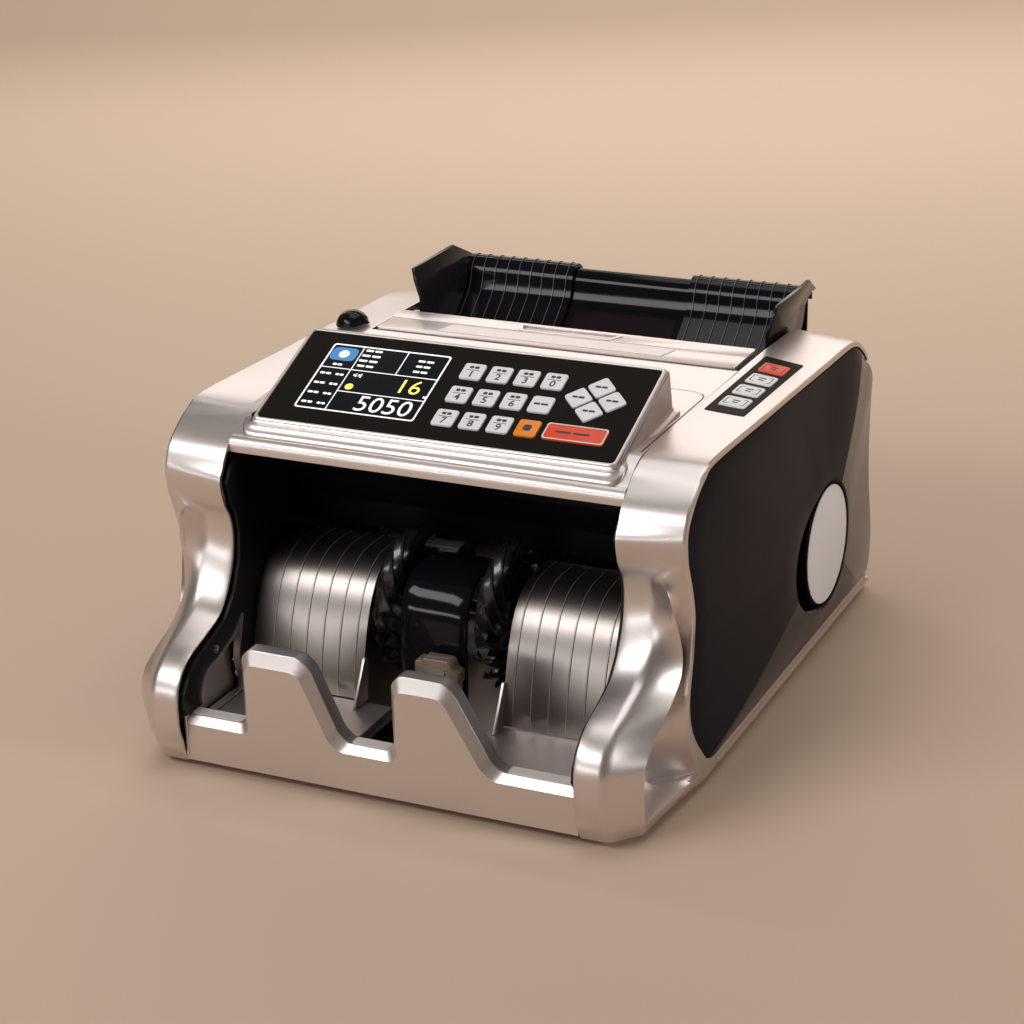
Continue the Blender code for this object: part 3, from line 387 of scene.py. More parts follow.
def lettering(text, size, weight=0.0):
    """Flat figures, centred on the origin; weight thickens their strokes."""
    curve = bpy.data.curves.new("figures", "FONT")
    curve.body = text
    curve.size = size
    curve.offset = weight
    curve.align_x = "CENTER"
    curve.align_y = "CENTER"
    curve.resolution_u = 3
    obj = bpy.data.objects.new("figures", curve)
    bpy.context.scene.collection.objects.link(obj)
    bpy.context.view_layer.update()
    mesh = bpy.data.meshes.new_from_object(obj.evaluated_get(bpy.context.evaluated_depsgraph_get()))
    bm = bmesh.new()
    bm.from_mesh(mesh)
    bpy.data.objects.remove(obj)
    bpy.data.curves.remove(curve)
    bpy.data.meshes.remove(mesh)
    return bm


def together(shapes):
    """Several separate shapes as one."""
    whole = bmesh.new()
    for shape in shapes:
        mesh = mesh_of(shape, "shape")
        whole.from_mesh(mesh)
        bpy.data.meshes.remove(mesh)
    return whole


class Piece:
    """One visible piece, built from several shapes that may have different finishes."""

    def __init__(self, name):
        self.name = name
        self.bm = bmesh.new()
        self.finishes = []

    def add(self, bm, finish, place=None):
        """Add a shape in one finish, or in the finish that a function gives each face's centre."""
        if place is not None:
            bmesh.ops.transform(bm, matrix=place, verts=bm.verts)
        for face in bm.faces:
            named = finish(face.calc_center_median()) if callable(finish) else finish
            if named not in self.finishes:
                self.finishes.append(named)
            face.material_index = self.finishes.index(named)
        mesh = mesh_of(bm, "part")
        self.bm.from_mesh(mesh)
        bpy.data.meshes.remove(mesh)
        return self

    def put(self, body, stands_for=(), slot=None, sharp=32, at=None):
        """Finish the mesh in metres, shade it and hand it to its body."""
        bm = self.bm
        limit = math.radians(sharp)
        for face in bm.faces:
            face.smooth = True
        for edge in bm.edges:
            edge.smooth = len(edge.link_faces) == 2 and edge.calc_face_angle(math.pi) < limit
        origin = Vector(at) if at is not None else Vector((0, 0, 0))
        for vert in bm.verts:
            vert.co = (vert.co - origin) * MM
        obj = bpy.data.objects.new(self.name, mesh_of(bm, self.name))
        obj.location = origin * MM
        bpy.context.scene.collection.objects.link(obj)
        for finish in self.finishes:
            obj.data.materials.append(finish_named(finish))
        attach(obj, body)
        if stands_for:
            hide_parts(*stands_for)
        return obj


# ---------------------------------------------------------------- finishes


class Signal:
    """A number from a shader node that takes part in ordinary arithmetic."""

    def __init__(self, paint, socket):
        self.paint = paint
        self.socket = socket

    def __add__(self, other):
        return self.paint.maths("ADD", self, other)

    def __sub__(self, other):
        return self.paint.maths("SUBTRACT", self, other)

    def __rsub__(self, other):
        return self.paint.maths("SUBTRACT", other, self)

    def __mul__(self, other):
        return self.paint.maths("MULTIPLY", self, other)

    __radd__ = __add__
    __rmul__ = __mul__


class Paint:
    """A node material: node() adds any node, maths() adds the nodes of an expression."""

    def __init__(self, name, **constants):
        self.material = bpy.data.materials.new("finish " + name)
        self.material.use_nodes = True
        self.tree = self.material.node_tree
        self.shader = self.tree.nodes["Principled BSDF"]
        for key, value in constants.items():
            self.shader.inputs[key.replace("_", " ")].default_value = value

    def node(self, kind, settings=None, output=0, **sockets):
        node = self.tree.nodes.new(kind)
        for key, value in (settings or {}).items():
            setattr(node, key, value)
        for key, value in sockets.items():
            name = key.replace("_", " ")
            socket = node.inputs[int(key[1:])] if key[0] == "i" and key[1:].isdigit() else node.inputs[name]
            if isinstance(value, Signal):
                self.tree.links.new(value.socket, socket)
            else:
                socket.default_value = value
        return Signal(self, node.outputs[output])

    def maths(self, operation, first, second):
        return self.node("ShaderNodeMath", {"operation": operation}, i0=first, i1=second)

    def spots(self, scale, detail=2.0, stretch=(1, 1, 1), rough=0.5):
        """Noise in the piece's own space, as a number from 0 to 1."""
        place = self.node("ShaderNodeTexCoord", output=3)
        wide = self.node("ShaderNodeMapping", Vector=place, Scale=stretch)
        return self.node("ShaderNodeTexNoise", Vector=wide, Scale=scale, Detail=detail, Roughness=rough)

    def between(self, low, high, share):
        """A number that goes from low to high with a share."""
        return share * (high - low) + low

    def tint(self, first, second, share):
        """A colour between two colours."""
        return self.node(
            "ShaderNodeMix", {"data_type": "RGBA"}, output=2, i0=share, i6=(*first, 1), i7=(*second, 1),
        )

    def feed(self, **links):
        for key, signal in links.items():
            self.tree.links.new(signal.socket, self.shader.inputs[key.replace("_", " ")])
        return self

    def bump(self, height, strength, distance):
        return self.feed(Normal=self.node(
            "ShaderNodeBump", Height=height, Strength=strength, Distance=distance,
        ))


def shade(colour, factor):
    return tuple(min(1.0, part * factor) for part in colour)


def metal_paint(
    name, colour, roughness, metallic, flake=0.04, grain=(1, 1, 1), grain_scale=900.0, depth=0.12,
):
    """Metallic paint: fine flake, a slow change of tone and slightly uneven gloss."""
    paint = Paint(name, Metallic=metallic)
    slow = paint.spots(9.0, 3.0)
    fine = paint.spots(grain_scale, 2.0, grain)
    share = (slow * 0.6 + fine * 0.4 - 0.3) * 1.6
    paint.feed(
        Base_Color=paint.tint(shade(colour, 1 - flake), shade(colour, 1 + flake), share),
        Roughness=paint.between(roughness - 0.05, roughness + 0.07, fine * 0.7 + slow * 0.3),
    )
    return paint.bump(fine, depth, 0.00006)


def moulded(name, colour, roughness, coat=0.0, lift=1.6, texture=0.00005, scale=1400.0, **more):
    """Moulded plastic: faint tooling grain, dust that lightens it and uneven gloss."""
    paint = Paint(name, Coat_Weight=coat, Coat_Roughness=0.06, **more)
    grain = paint.spots(scale, 3.0)
    slow = paint.spots(14.0, 4.0)
    share = (slow - 0.35) * 1.3 + grain * 0.2
    paint.feed(
        Base_Color=paint.tint(colour, shade(colour, lift), share),
        Roughness=paint.between(roughness - 0.04, roughness + 0.09, slow),
    )
    return paint.bump(grain * 0.6 + slow * 0.2, 0.15, texture)


def stippled(name, colour, roughness, metallic):
    """Spark-eroded texture that sparkles, as on the grip strips."""
    paint = Paint(name, Metallic=metallic)
    grain = paint.spots(1300.0, 4.0, rough=0.7)
    paint.feed(
        Base_Color=paint.tint(shade(colour, 0.86), shade(colour, 1.14), grain),
        Roughness=paint.between(roughness - 0.1, roughness + 0.15, grain),
    )
    return paint.bump(grain, 0.7, 0.0003)


def glowing(name, colour, strength):
    """Printed or lit figures behind glass, with a faint dot structure."""
    paint = Paint(name, Roughness=0.35, Emission_Strength=strength)
    dots = paint.spots(2500.0, 1.0)
    tone = paint.tint(shade(colour, 0.85), colour, dots)
    return paint.feed(Base_Color=tone, Emission_Color=tone)


def make_finishes():
    colours = bpy.context.scene.counter_colours
    rose = tuple(colours.body)
    black = tuple(colours.panels)
    metal_paint("rose_gold", rose, 0.34, 0.92)
    metal_paint("silver_rose", tuple(colours.guides), 0.33, 1.0, flake=0.03)
    # A lighter copy of the guide paint for the rib crests: painted highlight.
    metal_paint("rib_silver", shade(tuple(colours.guides), 1.6), 0.4, 0.8, flake=0.03)
    # A darker, rougher copy of the body paint for the tray shelves: the darker colour is painted shade.
    metal_paint("rose_satin_painted_shade", shade(rose, 0.8), 0.45, 0.95)
    # Textured strips: the stipple is real, the colour is the body paint made lighter as a painted sheen.
    stippled("rose_stipple_painted_sheen", shade(rose, 1.25), 0.45, 0.5)
    moulded("cover_black", black, 0.12, lift=1.6, texture=0.00003, IOR=1.1)
    # Lighter copies of the cover's black for the rear and lower facets: painted highlights.
    moulded("cover_low", shade(black, 1.5), 0.14, lift=1.5, texture=0.00003, IOR=1.24)
    moulded("cover_rear", shade(black, 1.8), 0.16, lift=1.5, texture=0.00003, IOR=1.9)
    moulded("gloss_black", shade(black, 0.5), 0.07, lift=1.8, texture=0.00002, IOR=1.3)
    moulded("satin_black", shade(black, 0.5), 0.3, lift=1.6, IOR=1.1)
    # Darkest black: painted shade in each cover's hub dish, on a slab behind the front plate and on the
    # cavity roof; it also draws the dark seam line round the console.
    moulded("pit_black", (0.003, 0.003, 0.004), 0.5, lift=1.4, IOR=1.2)
    moulded("smoke", (0.012, 0.011, 0.014), 0.14, lift=1.8, IOR=1.35)
    moulded("rear_black", (0.022, 0.021, 0.023), 0.38, lift=1.7, texture=0.0001, scale=900.0)
    # A lighter black for the rib crests of the hopper guides: painted highlight.
    moulded("rib_black", (0.07, 0.07, 0.075), 0.2, lift=1.5)
    moulded("wheel_black", (0.012, 0.011, 0.014), 0.22, coat=0.4, lift=2.5)
    moulded("wine_patch", (0.012, 0.006, 0.009), 0.3, lift=1.5, IOR=1.12)
    moulded("keypad_black", tuple(colours.keypad), 0.42, lift=1.4, texture=0.00003, scale=2500.0, IOR=1.1)
    moulded("screen_glass", (0.010, 0.011, 0.013), 0.12, lift=1.5, texture=0.00001, IOR=1.2)
    moulded("key_white", tuple(colours.keys), 0.38, lift=1.06)
    moulded("key_red", (0.83, 0.065, 0.01), 0.38, lift=1.12)
    moulded("key_orange", (0.93, 0.27, 0.008), 0.38, lift=1.08)
    moulded("print_dark", (0.035, 0.035, 0.05), 0.5, lift=1.3)
    moulded("print_white", (0.75, 0.75, 0.74), 0.45, lift=1.1)
    glowing("lit_white", (0.9, 0.92, 0.92), 0.75)
    glowing("lit_yellow", (0.9, 0.82, 0.16), 0.75)
    glowing("lit_blue", (0.05, 0.22, 0.5), 0.5)
    moulded("disc_grey", tuple(colours.disc), 0.36, lift=1.08)
    moulded("rubber", (0.022, 0.022, 0.023), 0.72, lift=1.9, texture=0.0002, scale=500.0)
    metal_paint("steel", (0.56, 0.57, 0.59), 0.26, 1.0, grain=(0.02, 1, 1), grain_scale=1500.0, depth=0.3)
    moulded("frame_steel", (0.010, 0.010, 0.011), 0.3, lift=1.6, scale=700.0, texture=0.0001, IOR=1.3)
    moulded("board_green", (0.015, 0.13, 0.05), 0.4, coat=0.3, lift=1.5)
    clear = moulded("clear_rose", (0.40, 0.29, 0.23), 0.15, coat=0.6, lift=1.1)
    clear.shader.inputs["Transmission Weight"].default_value = 0.5
    floor = Paint("floor_paper", Roughness=0.85)
    fibre = floor.spots(300.0, 5.0)
    floor.feed(Base_Color=floor.tint(shade(tuple(colours.floor), 0.985), tuple(colours.floor), fibre))
    floor.bump(fibre, 0.1, 0.0002)


def finish_named(name):
    material = bpy.data.materials.get("finish " + name)
    if material is None:
        raise RuntimeError(f"there is no finish named {name}")
    return material


def dress(finish, *nodes):
    """A better finish for solids whose shape is right as it is."""
    for node in nodes:
        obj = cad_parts[node]
        if not obj.material_slots:
            obj.data.materials.append(None)
        for slot in obj.material_slots:
            slot.link = "OBJECT"
            slot.material = finish_named(finish)


# ---------------------------------------------------------------- settings


def colour_setting(name, description, default):
    return bpy.props.FloatVectorProperty(
        name=name, description=description, subtype="COLOR", size=3, min=0, max=1, default=default,
    )


def number_setting(kind, name, description, default, low, high):
    return kind(name=name, description=description, default=default, min=low, max=high)


class CounterColours(bpy.types.PropertyGroup):
    """Colours of the machine's main finishes."""

    body: colour_setting("Body", "Rose-gold paint of the housing", (0.72, 0.655, 0.635))
    guides: colour_setting("Guides", "Silver-rose paint of the stacker guides", (0.36, 0.32, 0.30))
    panels: colour_setting("Panels", "Gloss black of the side covers", (0.010, 0.009, 0.013))
    keypad: colour_setting("Keypad", "Printed panel around the keys", (0.011, 0.0095, 0.0075))
    keys: colour_setting("Keys", "Plain key caps", (0.84, 0.84, 0.83))
    disc: colour_setting("Handwheel", "Face of the handwheel", (0.80, 0.79, 0.82))
    floor: colour_setting("Floor", "Plain paper under the machine", (0.64, 0.48, 0.355))


class CounterSizes(bpy.types.PropertyGroup):
    """Sizes of the details that the solid model leaves out."""

    rib_height: number_setting(
        bpy.props.FloatProperty, "Guide rib height", "Height of the ribs, in millimetres", 0.4, 0.1, 3,
    )
    rib_pitch: number_setting(
        bpy.props.FloatProperty, "Guide rib pitch", "Between stacker guide ribs, in millimetres", 10.2, 4, 20,
    )
    hopper_rib_pitch: number_setting(
        bpy.props.FloatProperty, "Hopper rib pitch", "Between hopper ribs, in millimetres", 8.0, 4, 20,
    )
    blades: number_setting(
        bpy.props.IntProperty, "Blades", "Leaf blades on each stacker wheel", 14, 4, 24,
    )
    knurls: number_setting(
        bpy.props.IntProperty, "Knurls", "Ridges round the handwheel's rim", 72, 12, 144,
    )
    key_corner: number_setting(
        bpy.props.FloatProperty, "Key corner", "Corner radius of a key cap, in millimetres", 1.8, 0.2, 5,
    )
    floor_reach: number_setting(
        bpy.props.FloatProperty, "Floor reach", "Half the width of the floor, in metres", 8.0, 1, 30,
    )
    focal_length: number_setting(
        bpy.props.FloatProperty, "Focal length", "Camera lens, in millimetres", 89.3, 20, 300,
    )


def sizes():
    return bpy.context.scene.counter_sizes


# ---------------------------------------------------------------- pieces


class StageOperator(bpy.types.Operator):
    """Floor, soft studio lights and the camera"""

    bl_idname = "counter.stage"
    bl_label = "Stage"

    def execute(self, context):
        make_stage()
        return {"FINISHED"}


def make_stage():
    scene = bpy.context.scene
    world = bpy.data.worlds.new("studio")
    world.use_nodes = True
    world.node_tree.nodes["Background"].inputs["Color"].default_value = (0.55, 0.45, 0.40, 1)
    world.node_tree.nodes["Background"].inputs["Strength"].default_value = 0.19
    scene.world = world
    scene.view_settings.view_transform = "Standard"

    reach = sizes().floor_reach
    rise = [(-reach, 0.0), (-0.5 * reach, 0.0), (0.0, 0.0), (FLOOR_FLAT, 0.0)]
    for degrees in range(9, 91, 9):
        angle = math.radians(degrees)
        rise.append((FLOOR_FLAT + FLOOR_SWEEP * math.sin(angle), FLOOR_SWEEP - FLOOR_SWEEP * math.cos(angle)))
    rise.append((FLOOR_FLAT + FLOOR_SWEEP, WALL_TOP))
    bm = sheet([[Vector((x * reach, y, z)) for x in (-1, -0.3, 0.3, 1)] for y, z in rise])
    for face in bm.faces:
        face.smooth = True
    floor = bpy.data.objects.new("floor", mesh_of(bm, "floor"))
    floor.data.materials.append(finish_named("floor_paper"))
    scene.collection.objects.link(floor)

    lights = (
        ("overhead", (0.0, 0.1, 1.7), (0, 0.05, 0.1), 1.2, 0.8, 6.0),
        ("front_high", (-0.66, -1.05, 1.1), (0, -0.1, 0.1), 1.1, 0.4, 9.5),
        ("front_low", (-0.8, -1.9, 0.42), (0, -0.1, 0.08), 1.3, 0.16, 5.0),
        ("right", (1.7, -0.1, 0.55), (0, 0, 0.1), 0.25, 0.5, 7.0),
        ("rear", (-0.72, 1.45, 0.8), (0, 0, 0.18), 1.8, 0.7, 6.0),
        ("backdrop", (-0.4, 1.4, 2.6), (-0.4, 3.6, 0.9), 3.4, 1.0, 78.0),
    )
    for name, place, target, width, height, power in lights:
        lamp = bpy.data.lights.new(name, "AREA")
        lamp.shape = "RECTANGLE"
        lamp.size = width
        lamp.size_y = height
        lamp.energy = power
        obj = bpy.data.objects.new(name, lamp)
        obj.location = place
        obj.rotation_euler = (Vector(target) - Vector(place)).to_track_quat("-Z", "Y").to_euler()
        obj.visible_camera = False
        scene.collection.objects.link(obj)

    heading, dip, roll = (math.radians(angle) for angle in CAMERA_ANGLES)
    target = Vector((0, 3.5, 93.0))
    forward = Vector((
        -math.sin(heading) * math.cos(dip), math.cos(heading) * math.cos(dip), -math.sin(dip),
    ))
    right = Vector((math.cos(heading), math.sin(heading), 0))
    up = right.cross(forward)
    right, up = right * math.cos(roll) + up * math.sin(roll), up * math.cos(roll) - right * math.sin(roll)
    place = target - forward * CAMERA_DISTANCE - right * 4.0 + up * 1.8
    turn = Matrix((right, up, -forward)).transposed().to_4x4()
    camera = bpy.data.cameras.new("camera")
    camera.lens = sizes().focal_length
    camera.sensor_width = 36.0
    camera.clip_start = 0.05
    obj = bpy.data.objects.new("camera", camera)
    obj.matrix_world = Matrix.Translation(place * MM) @ turn
    scene.collection.objects.link(obj)
    scene.camera = obj


def mirrored(points, side):
    return [(side * point[0], point[1], point[2]) for point in points]


def leg_section(row):
    """Across a leg: flat front face, soft crease, flank, sharp ridge, pocket and rim."""
    (edge_y, edge_z), ridge, pocket, (rim_y, rim_z), (border_y, border_z) = row
    x = HALF_INNER + 0.1
    ridge = Vector(ridge)
    pocket = Vector(pocket)
    start = Vector((x, edge_y, edge_z))
    crease = Vector((x + 16.0, edge_y, edge_z * 0.65 + ridge.z * 0.35))
    before = start.lerp(crease, 0.82)
    after = crease.lerp(ridge, 0.2)
    points = [start + Vector((0, 1.2, 0)), start + Vector((0.25, 0.35, 0)), start + Vector((0.9, 0, 0))]
    points += [start.lerp(before, 0.4), before]
    for step in range(1, 6):
        t = step / 6
        points.append(before * (1 - t) ** 2 + crease * (2 * t * (1 - t)) + after * t * t)
    points += [after, after.lerp(ridge, 0.5), ridge]
    rim = Vector((HALF_WIDTH, rim_y, rim_z))
    border = Vector((HALF_WIDTH, border_y, border_z))
    bend = ridge.lerp(pocket, 0.5) + (pocket - ridge.lerp(rim, 0.5)) * 0.25
    points += [ridge.lerp(bend, 0.12), bend, pocket, pocket.lerp(rim, 0.45), rim.lerp(pocket, 0.10)]
    outward = Vector((0.35, 0, 0))
    points += [rim - outward, rim.lerp(border, 0.2), rim.lerp(border, 0.8), border - outward * 0.5]
    return points


def band_section(row):
    (edge_y, edge_z), (rim_y, rim_z), (border_y, border_z) = row
    x = HALF_INNER + 0.1
    edge = Vector((x, edge_y, edge_z))
    rim = Vector((HALF_WIDTH, rim_y, rim_z))
    border = Vector((HALF_WIDTH, border_y, border_z))
    points = [edge, edge + Vector((0.25, 0, 0)), edge + Vector((0.9, 0, 0))]
    for share in (0.09, 0.16, 0.24, 0.32, 0.4, 0.5, 0.6, 0.7, 0.78, 0.84, 0.88, 0.91, 0.935, 0.955):
        point = edge.lerp(rim, share)
        point.z += BAND_CROWN * share ** 2
        points.append(point)
    points += [edge.lerp(rim, 0.972) + Vector((0, 0, 0.5)), rim.lerp(border, 0.03)]
    points += [rim.lerp(border, 0.25), rim.lerp(border, 0.8), border - Vector((0.17, 0, 0))]
    return points


class ShellOperator(bpy.types.Operator):
    """Wavy side shells with their legs, ridges and pockets"""

    bl_idname = "counter.shells"
    bl_label = "Side shells"

    def execute(self, context):
        for name, side in (("left", -1), ("right", 1)):
            legs = [leg_section(row) for row in LEG_ROWS]
            bands = [band_section(row) for row in BAND_ROWS]
            rows = [legs[0]] + smooth_rows(legs[1:] + bands, 4)
            bm = sheet([mirrored(row, side) for row in rows])
            if side < 0:
                bmesh.ops.reverse_faces(bm, faces=bm.faces)
            under_strip = [
                face for face in bm.faces
                if all(abs(v.co.x - STRIP_X) < 11.0 and abs(v.co.y - STRIP_Y) < 47.7 for v in face.verts)
            ]
            bmesh.ops.delete(bm, geom=under_strip, context="FACES")
            Piece(f"{name}_shell_skin").add(bent(bm, wall=2.2), "rose_gold").put(
                "chassis", [f"{name}_shell"], "rose_gold", sharp=28,
            )
        return {"FINISHED"}


def cover_outline():
    corners = [row[4] for row in LEG_ROWS[1:]] + [row[2] for row in BAND_ROWS] + COVER_REAR
    corners += [(100, COVER_FOOT), (40, COVER_FOOT), (-20, COVER_FOOT)]
    inside = []
    for y, z in corners:
        inward = Vector((HUB_Y - y, HUB_Z - z)).normalized() * 0.35
        inside.append((min(y + inward.x, COVER_BACK), z + inward.y))
    return inside


# Directions from the hub, in degrees: the creases of a side cover, and its two facets that are painted
# lighter as painted highlights
CREASES = (50.0, 150.0, 198.0, 322.0)
REAR_HIGHLIGHT_FACET = (322.0, 50.0)
LOW_HIGHLIGHT_FACET = (198.0, 322.0)


def crease_height(angle):
    """How near a direction is to a crease: 1 on it and 0 halfway between two."""
    turn = math.degrees(angle) % 360
    near = min(abs((turn - crease + 180) % 360 - 180) for crease in CREASES)
    return max(0.0, 1.0 - near / 34.0)


def cover_painted_light(centre):
    """The facets behind and below the hub get lighter copies of the cover's black, a painted highlight."""
    turn = math.degrees(math.atan2(centre.z - HUB_Z, centre.y - HUB_Y)) % 360
    # Inside the hub rim: the darkest black, painted shade in the dish behind the handwheel.
    if math.hypot(centre.y - HUB_Y, centre.z - HUB_Z) < HUB_RIM:
        return "pit_black"
    if turn < REAR_HIGHLIGHT_FACET[1] or turn > REAR_HIGHLIGHT_FACET[0]:
        return "cover_rear"
    return "cover_low" if LOW_HIGHLIGHT_FACET[0] < turn < LOW_HIGHLIGHT_FACET[1] else "cover_black"


class CoverOperator(bpy.types.Operator):
    """Gloss black side covers with their creases and the dish for the handwheel"""

    bl_idname = "counter.covers"
    bl_label = "Side covers"

    def execute(self, context):
        outline = smooth_line(cover_outline(), 4, closed=True)
        top = SIDE_X + COVER_BULGE
        low = top - DISH_DEPTH
        for name, side in (("left", -1), ("right", 1)):
            rows = []
            for point in outline:
                away = point - Vector((HUB_Y, HUB_Z))
                angle = math.atan2(away.y, away.x)
                forward = max(0.0, math.cos(angle - math.pi))
                reach = HUB_RIM + FINGER_REACH * forward ** 3
                hub = Vector((HUB_Y, HUB_Z)) + away.normalized() * reach
                lift = crease_height(angle)
                row = []
                for share in (0.0, 0.015, 0.12, 0.3, 0.5, 0.7, 0.88, 1.0):
                    flat = point.lerp(hub, share)
                    x = SIDE_X + COVER_BULGE * share
                    x += 2.6 * lift * 4 * share * (1 - share) * (1 - 0.5 * share)
                    x -= 0.5 if share == 0 else 0
                    row.append((min(x, top), flat.x, flat.y))
                rings = [
                    (reach - 1.2, top - 0.15), (reach - 2.0, top - 0.9), (reach - 2.8, top - 4),
                    (reach - 4.2, low + 0.6), (reach - 6.0, low), (8.0, low),
                ]
                if side < 0:
                    rings = [(reach * share, top) for share in (0.9, 0.6, 0.3)] + [(0.02, top)]
                for radius, x in rings:
                    row.append((x, HUB_Y + radius * math.cos(angle), HUB_Z + radius * math.sin(angle)))
                rows.append(mirrored(row, side))
            bm = sheet(rows, lengthwise=True)
            if side < 0:
                bmesh.ops.remove_doubles(bm, verts=bm.verts, dist=0.05)
                bmesh.ops.reverse_faces(bm, faces=bm.faces)
            # Rear and lower facets get painted highlights, the hub dish painted shade.
            piece = Piece(f"{name}_cover_skin").add(bent(bm, wall=2.2), cover_painted_light)
            rim = block((side * 148.5 - 1.4, -78, 6.9), (side * 148.5 + 1.4, 176, COVER_FOOT - 0.1))
            piece.add(bent(rim, bevel=0.6), "rose_gold")
            piece.put("chassis", [f"{name}_side_cover"], "gloss_black", sharp=24)
        return {"FINISHED"}


class FrontPlateOperator(bpy.types.Operator):
    """Front plate with its chamfered tabs, textured lips and tray floor"""

    bl_idname = "counter.front_plate"
    bl_label = "Front plate"

    def execute(self, context):
        square = [0.2, 0.2] + [3.0] * (len(PLATE_EDGE) - 4) + [0.2, 0.2]
        outer = rounded(PLATE_EDGE, square)
        face = rounded(PLATE_FACE, square)
        middle = [a.lerp(b, 0.05) for a, b in zip(outer, face)]
        soft = [a.lerp(b, 0.97) for a, b in zip(outer, face)]
        loops = [
            lie(face, "Y", FRONT_Y), lie(soft, "Y", FRONT_Y + 0.1), lie(middle, "Y", FRONT_Y + 3.3),
            lie(outer, "Y", FRONT_Y + 3.7), lie(outer, "Y", FRONT_Y + 12.0),
        ]
        piece = Piece("front_plate_skin")
        piece.add(stack(loops), "rose_gold")
        # The tray shelves take the darker copy of the body paint: painted shade.
        for low, high in ((-111.2, -24.0), (36.0, 111.2)):
            piece.add(bent(block((low, FRONT_Y + 8, 18), (high, -112.3, 22)), bevel=0.5), "rose_satin_painted_shade")
        for side in (-1, 1):
            x = side * 113.3
            divider = block((x - 0.8, FRONT_Y - 0.6, 8.0), (x + 0.8, FRONT_Y + 10, 31))
            piece.add(bent(divider, bevel=0.4), "rose_gold")
        # Textured lips in the lighter stipple paint: painted sheen.
        for low, high in ((-112.6, -81.5), (-15.5, 5.5), (73.5, 112.6)):
            lip = rectangle((high - low) / 2, 3.6, 1.5, ((low + high) / 2, FRONT_Y + 8.0))
            piece.add(prism(lip, "Z", 30.4, 31.2), "rose_stipple_painted_sheen")
        piece.put("chassis", ["front_plate"], "rose_gold", sharp=16)
        return {"FINISHED"}


class GuideOperator(bpy.types.Operator):
    """Curved, ribbed guides that the notes slide down, and the fins beside them"""

    bl_idname = "counter.guides"
    bl_label = "Stacker guides"

    def execute(self, context):
        line = smooth_line(GUIDE_PROFILE, 5)
        pitch = sizes().rib_pitch
        height = sizes().rib_height
        for name, side in (("left", -1), ("right", 1)):
            across = [(42.0, 0.0)]
            x = 47.5
            while x < 108.0:
                across += [(x - 0.55, 0.0), (x - 0.2, 0.9), (x, 1.0), (x + 0.2, 0.9), (x + 0.55, 0.0)]
                x += pitch
            across.append((110.5, 0.0))
            raised = offset_line(line, height)
            rows = []
            for low, high in zip(line, raised):
                fade = min(1.0, max(0.0, (low.y - 28.0) / 3.0))
                rows.append([
                    (side * x, *(low.lerp(high, share * fade))) for x, share in across
                ])
            bm = sheet(rows)
            if side < 0:
                bmesh.ops.reverse_faces(bm, faces=bm.faces)
            lines = [x for x, share in across if share == 1.0]

            # Faces along a rib crest get the lighter rib paint, a painted highlight.
            def guide_rib_highlight_mask(centre, lines=lines):
                return "rib_silver" if min(abs(abs(centre.x) - x) for x in lines) < 0.3 else "silver_rose"

            piece = Piece(f"{name}_guide_skin").add(bent(bm, wall=2.0), guide_rib_highlight_mask)
            fin = rounded([(-124, 22), (-108.5, 22), (-106.5, 46), (-109.5, 47)], 1.2)
            start = side * 41.6
            piece.add(bent(prism(fin, "X", start - 0.9, start + 0.9), bevel=0.35), "rose_gold")
            piece.put("chassis", [f"stacker_guide_{name}"], "silver_rose", sharp=30)
        return {"FINISHED"}


class CavityOperator(bpy.types.Operator):
    """Gloss hood between the wheels, the note stop, the dark pocket behind drawn as a flat slab of painted
    shade, and the cavity roof in the same painted shade
    """

    bl_idname = "counter.cavity"
    bl_label = "Stacker cavity"

    def execute(self, context):
        rows = []
        for point in smooth_line(HOOD_PROFILE, 4):
            row = []
            for share in (-1, -0.985, -0.95, -0.8, -0.5, 0, 0.5, 0.8, 0.95, 0.985, 1):
                drop = 2.2 * abs(share) ** 18 + 0.5 * share * share
                centre = Vector((-70, 55))
                inward = (centre - point).normalized() * drop
                row.append((STACKER_CENTRE + 20 * share, point.x + inward.x, point.y + inward.y))
            rows.append(row)
        hood = Piece("hood_skin").add(bent(sheet(rows), wall=1.8), "gloss_black")
        # A flat slab of the darkest black on the tray floor behind the front plate: painted shade of the
        # pocket there.
        shade_slab = block((-26, -166, 12.0), (34, -112, 13.2))
        hood.add(shade_slab, "pit_black")
        hood.put("chassis", ["centre_hood"], "gloss_black")

        stop = Piece("note_stop")
        body = rounded([
            (-1, 24), (22.5, 24), (22.5, 48), (24, 50), (24, 56), (20.5, 58),
            (20.5, 60.5), (18.5, 62.5), (4, 62.5), (3, 61), (-1, 60.5),
        ], 1.2)
        stop.add(bent(prism(body, "Y", -127.5, -118.5), bevel=0.6), "clear_rose")
        window = rounded([(1.5, 27), (16.5, 27), (16.5, 57.5), (1.5, 57.5)], 1.2)
        stop.add(prism(window, "Y", -128.1, -127.4), "silver_rose")
        stop.put("chassis")
        # The cavity roof gets the darkest black: painted shade of the cavity.
        dress("pit_black", "cavity_roof")
        return {"FINISHED"}


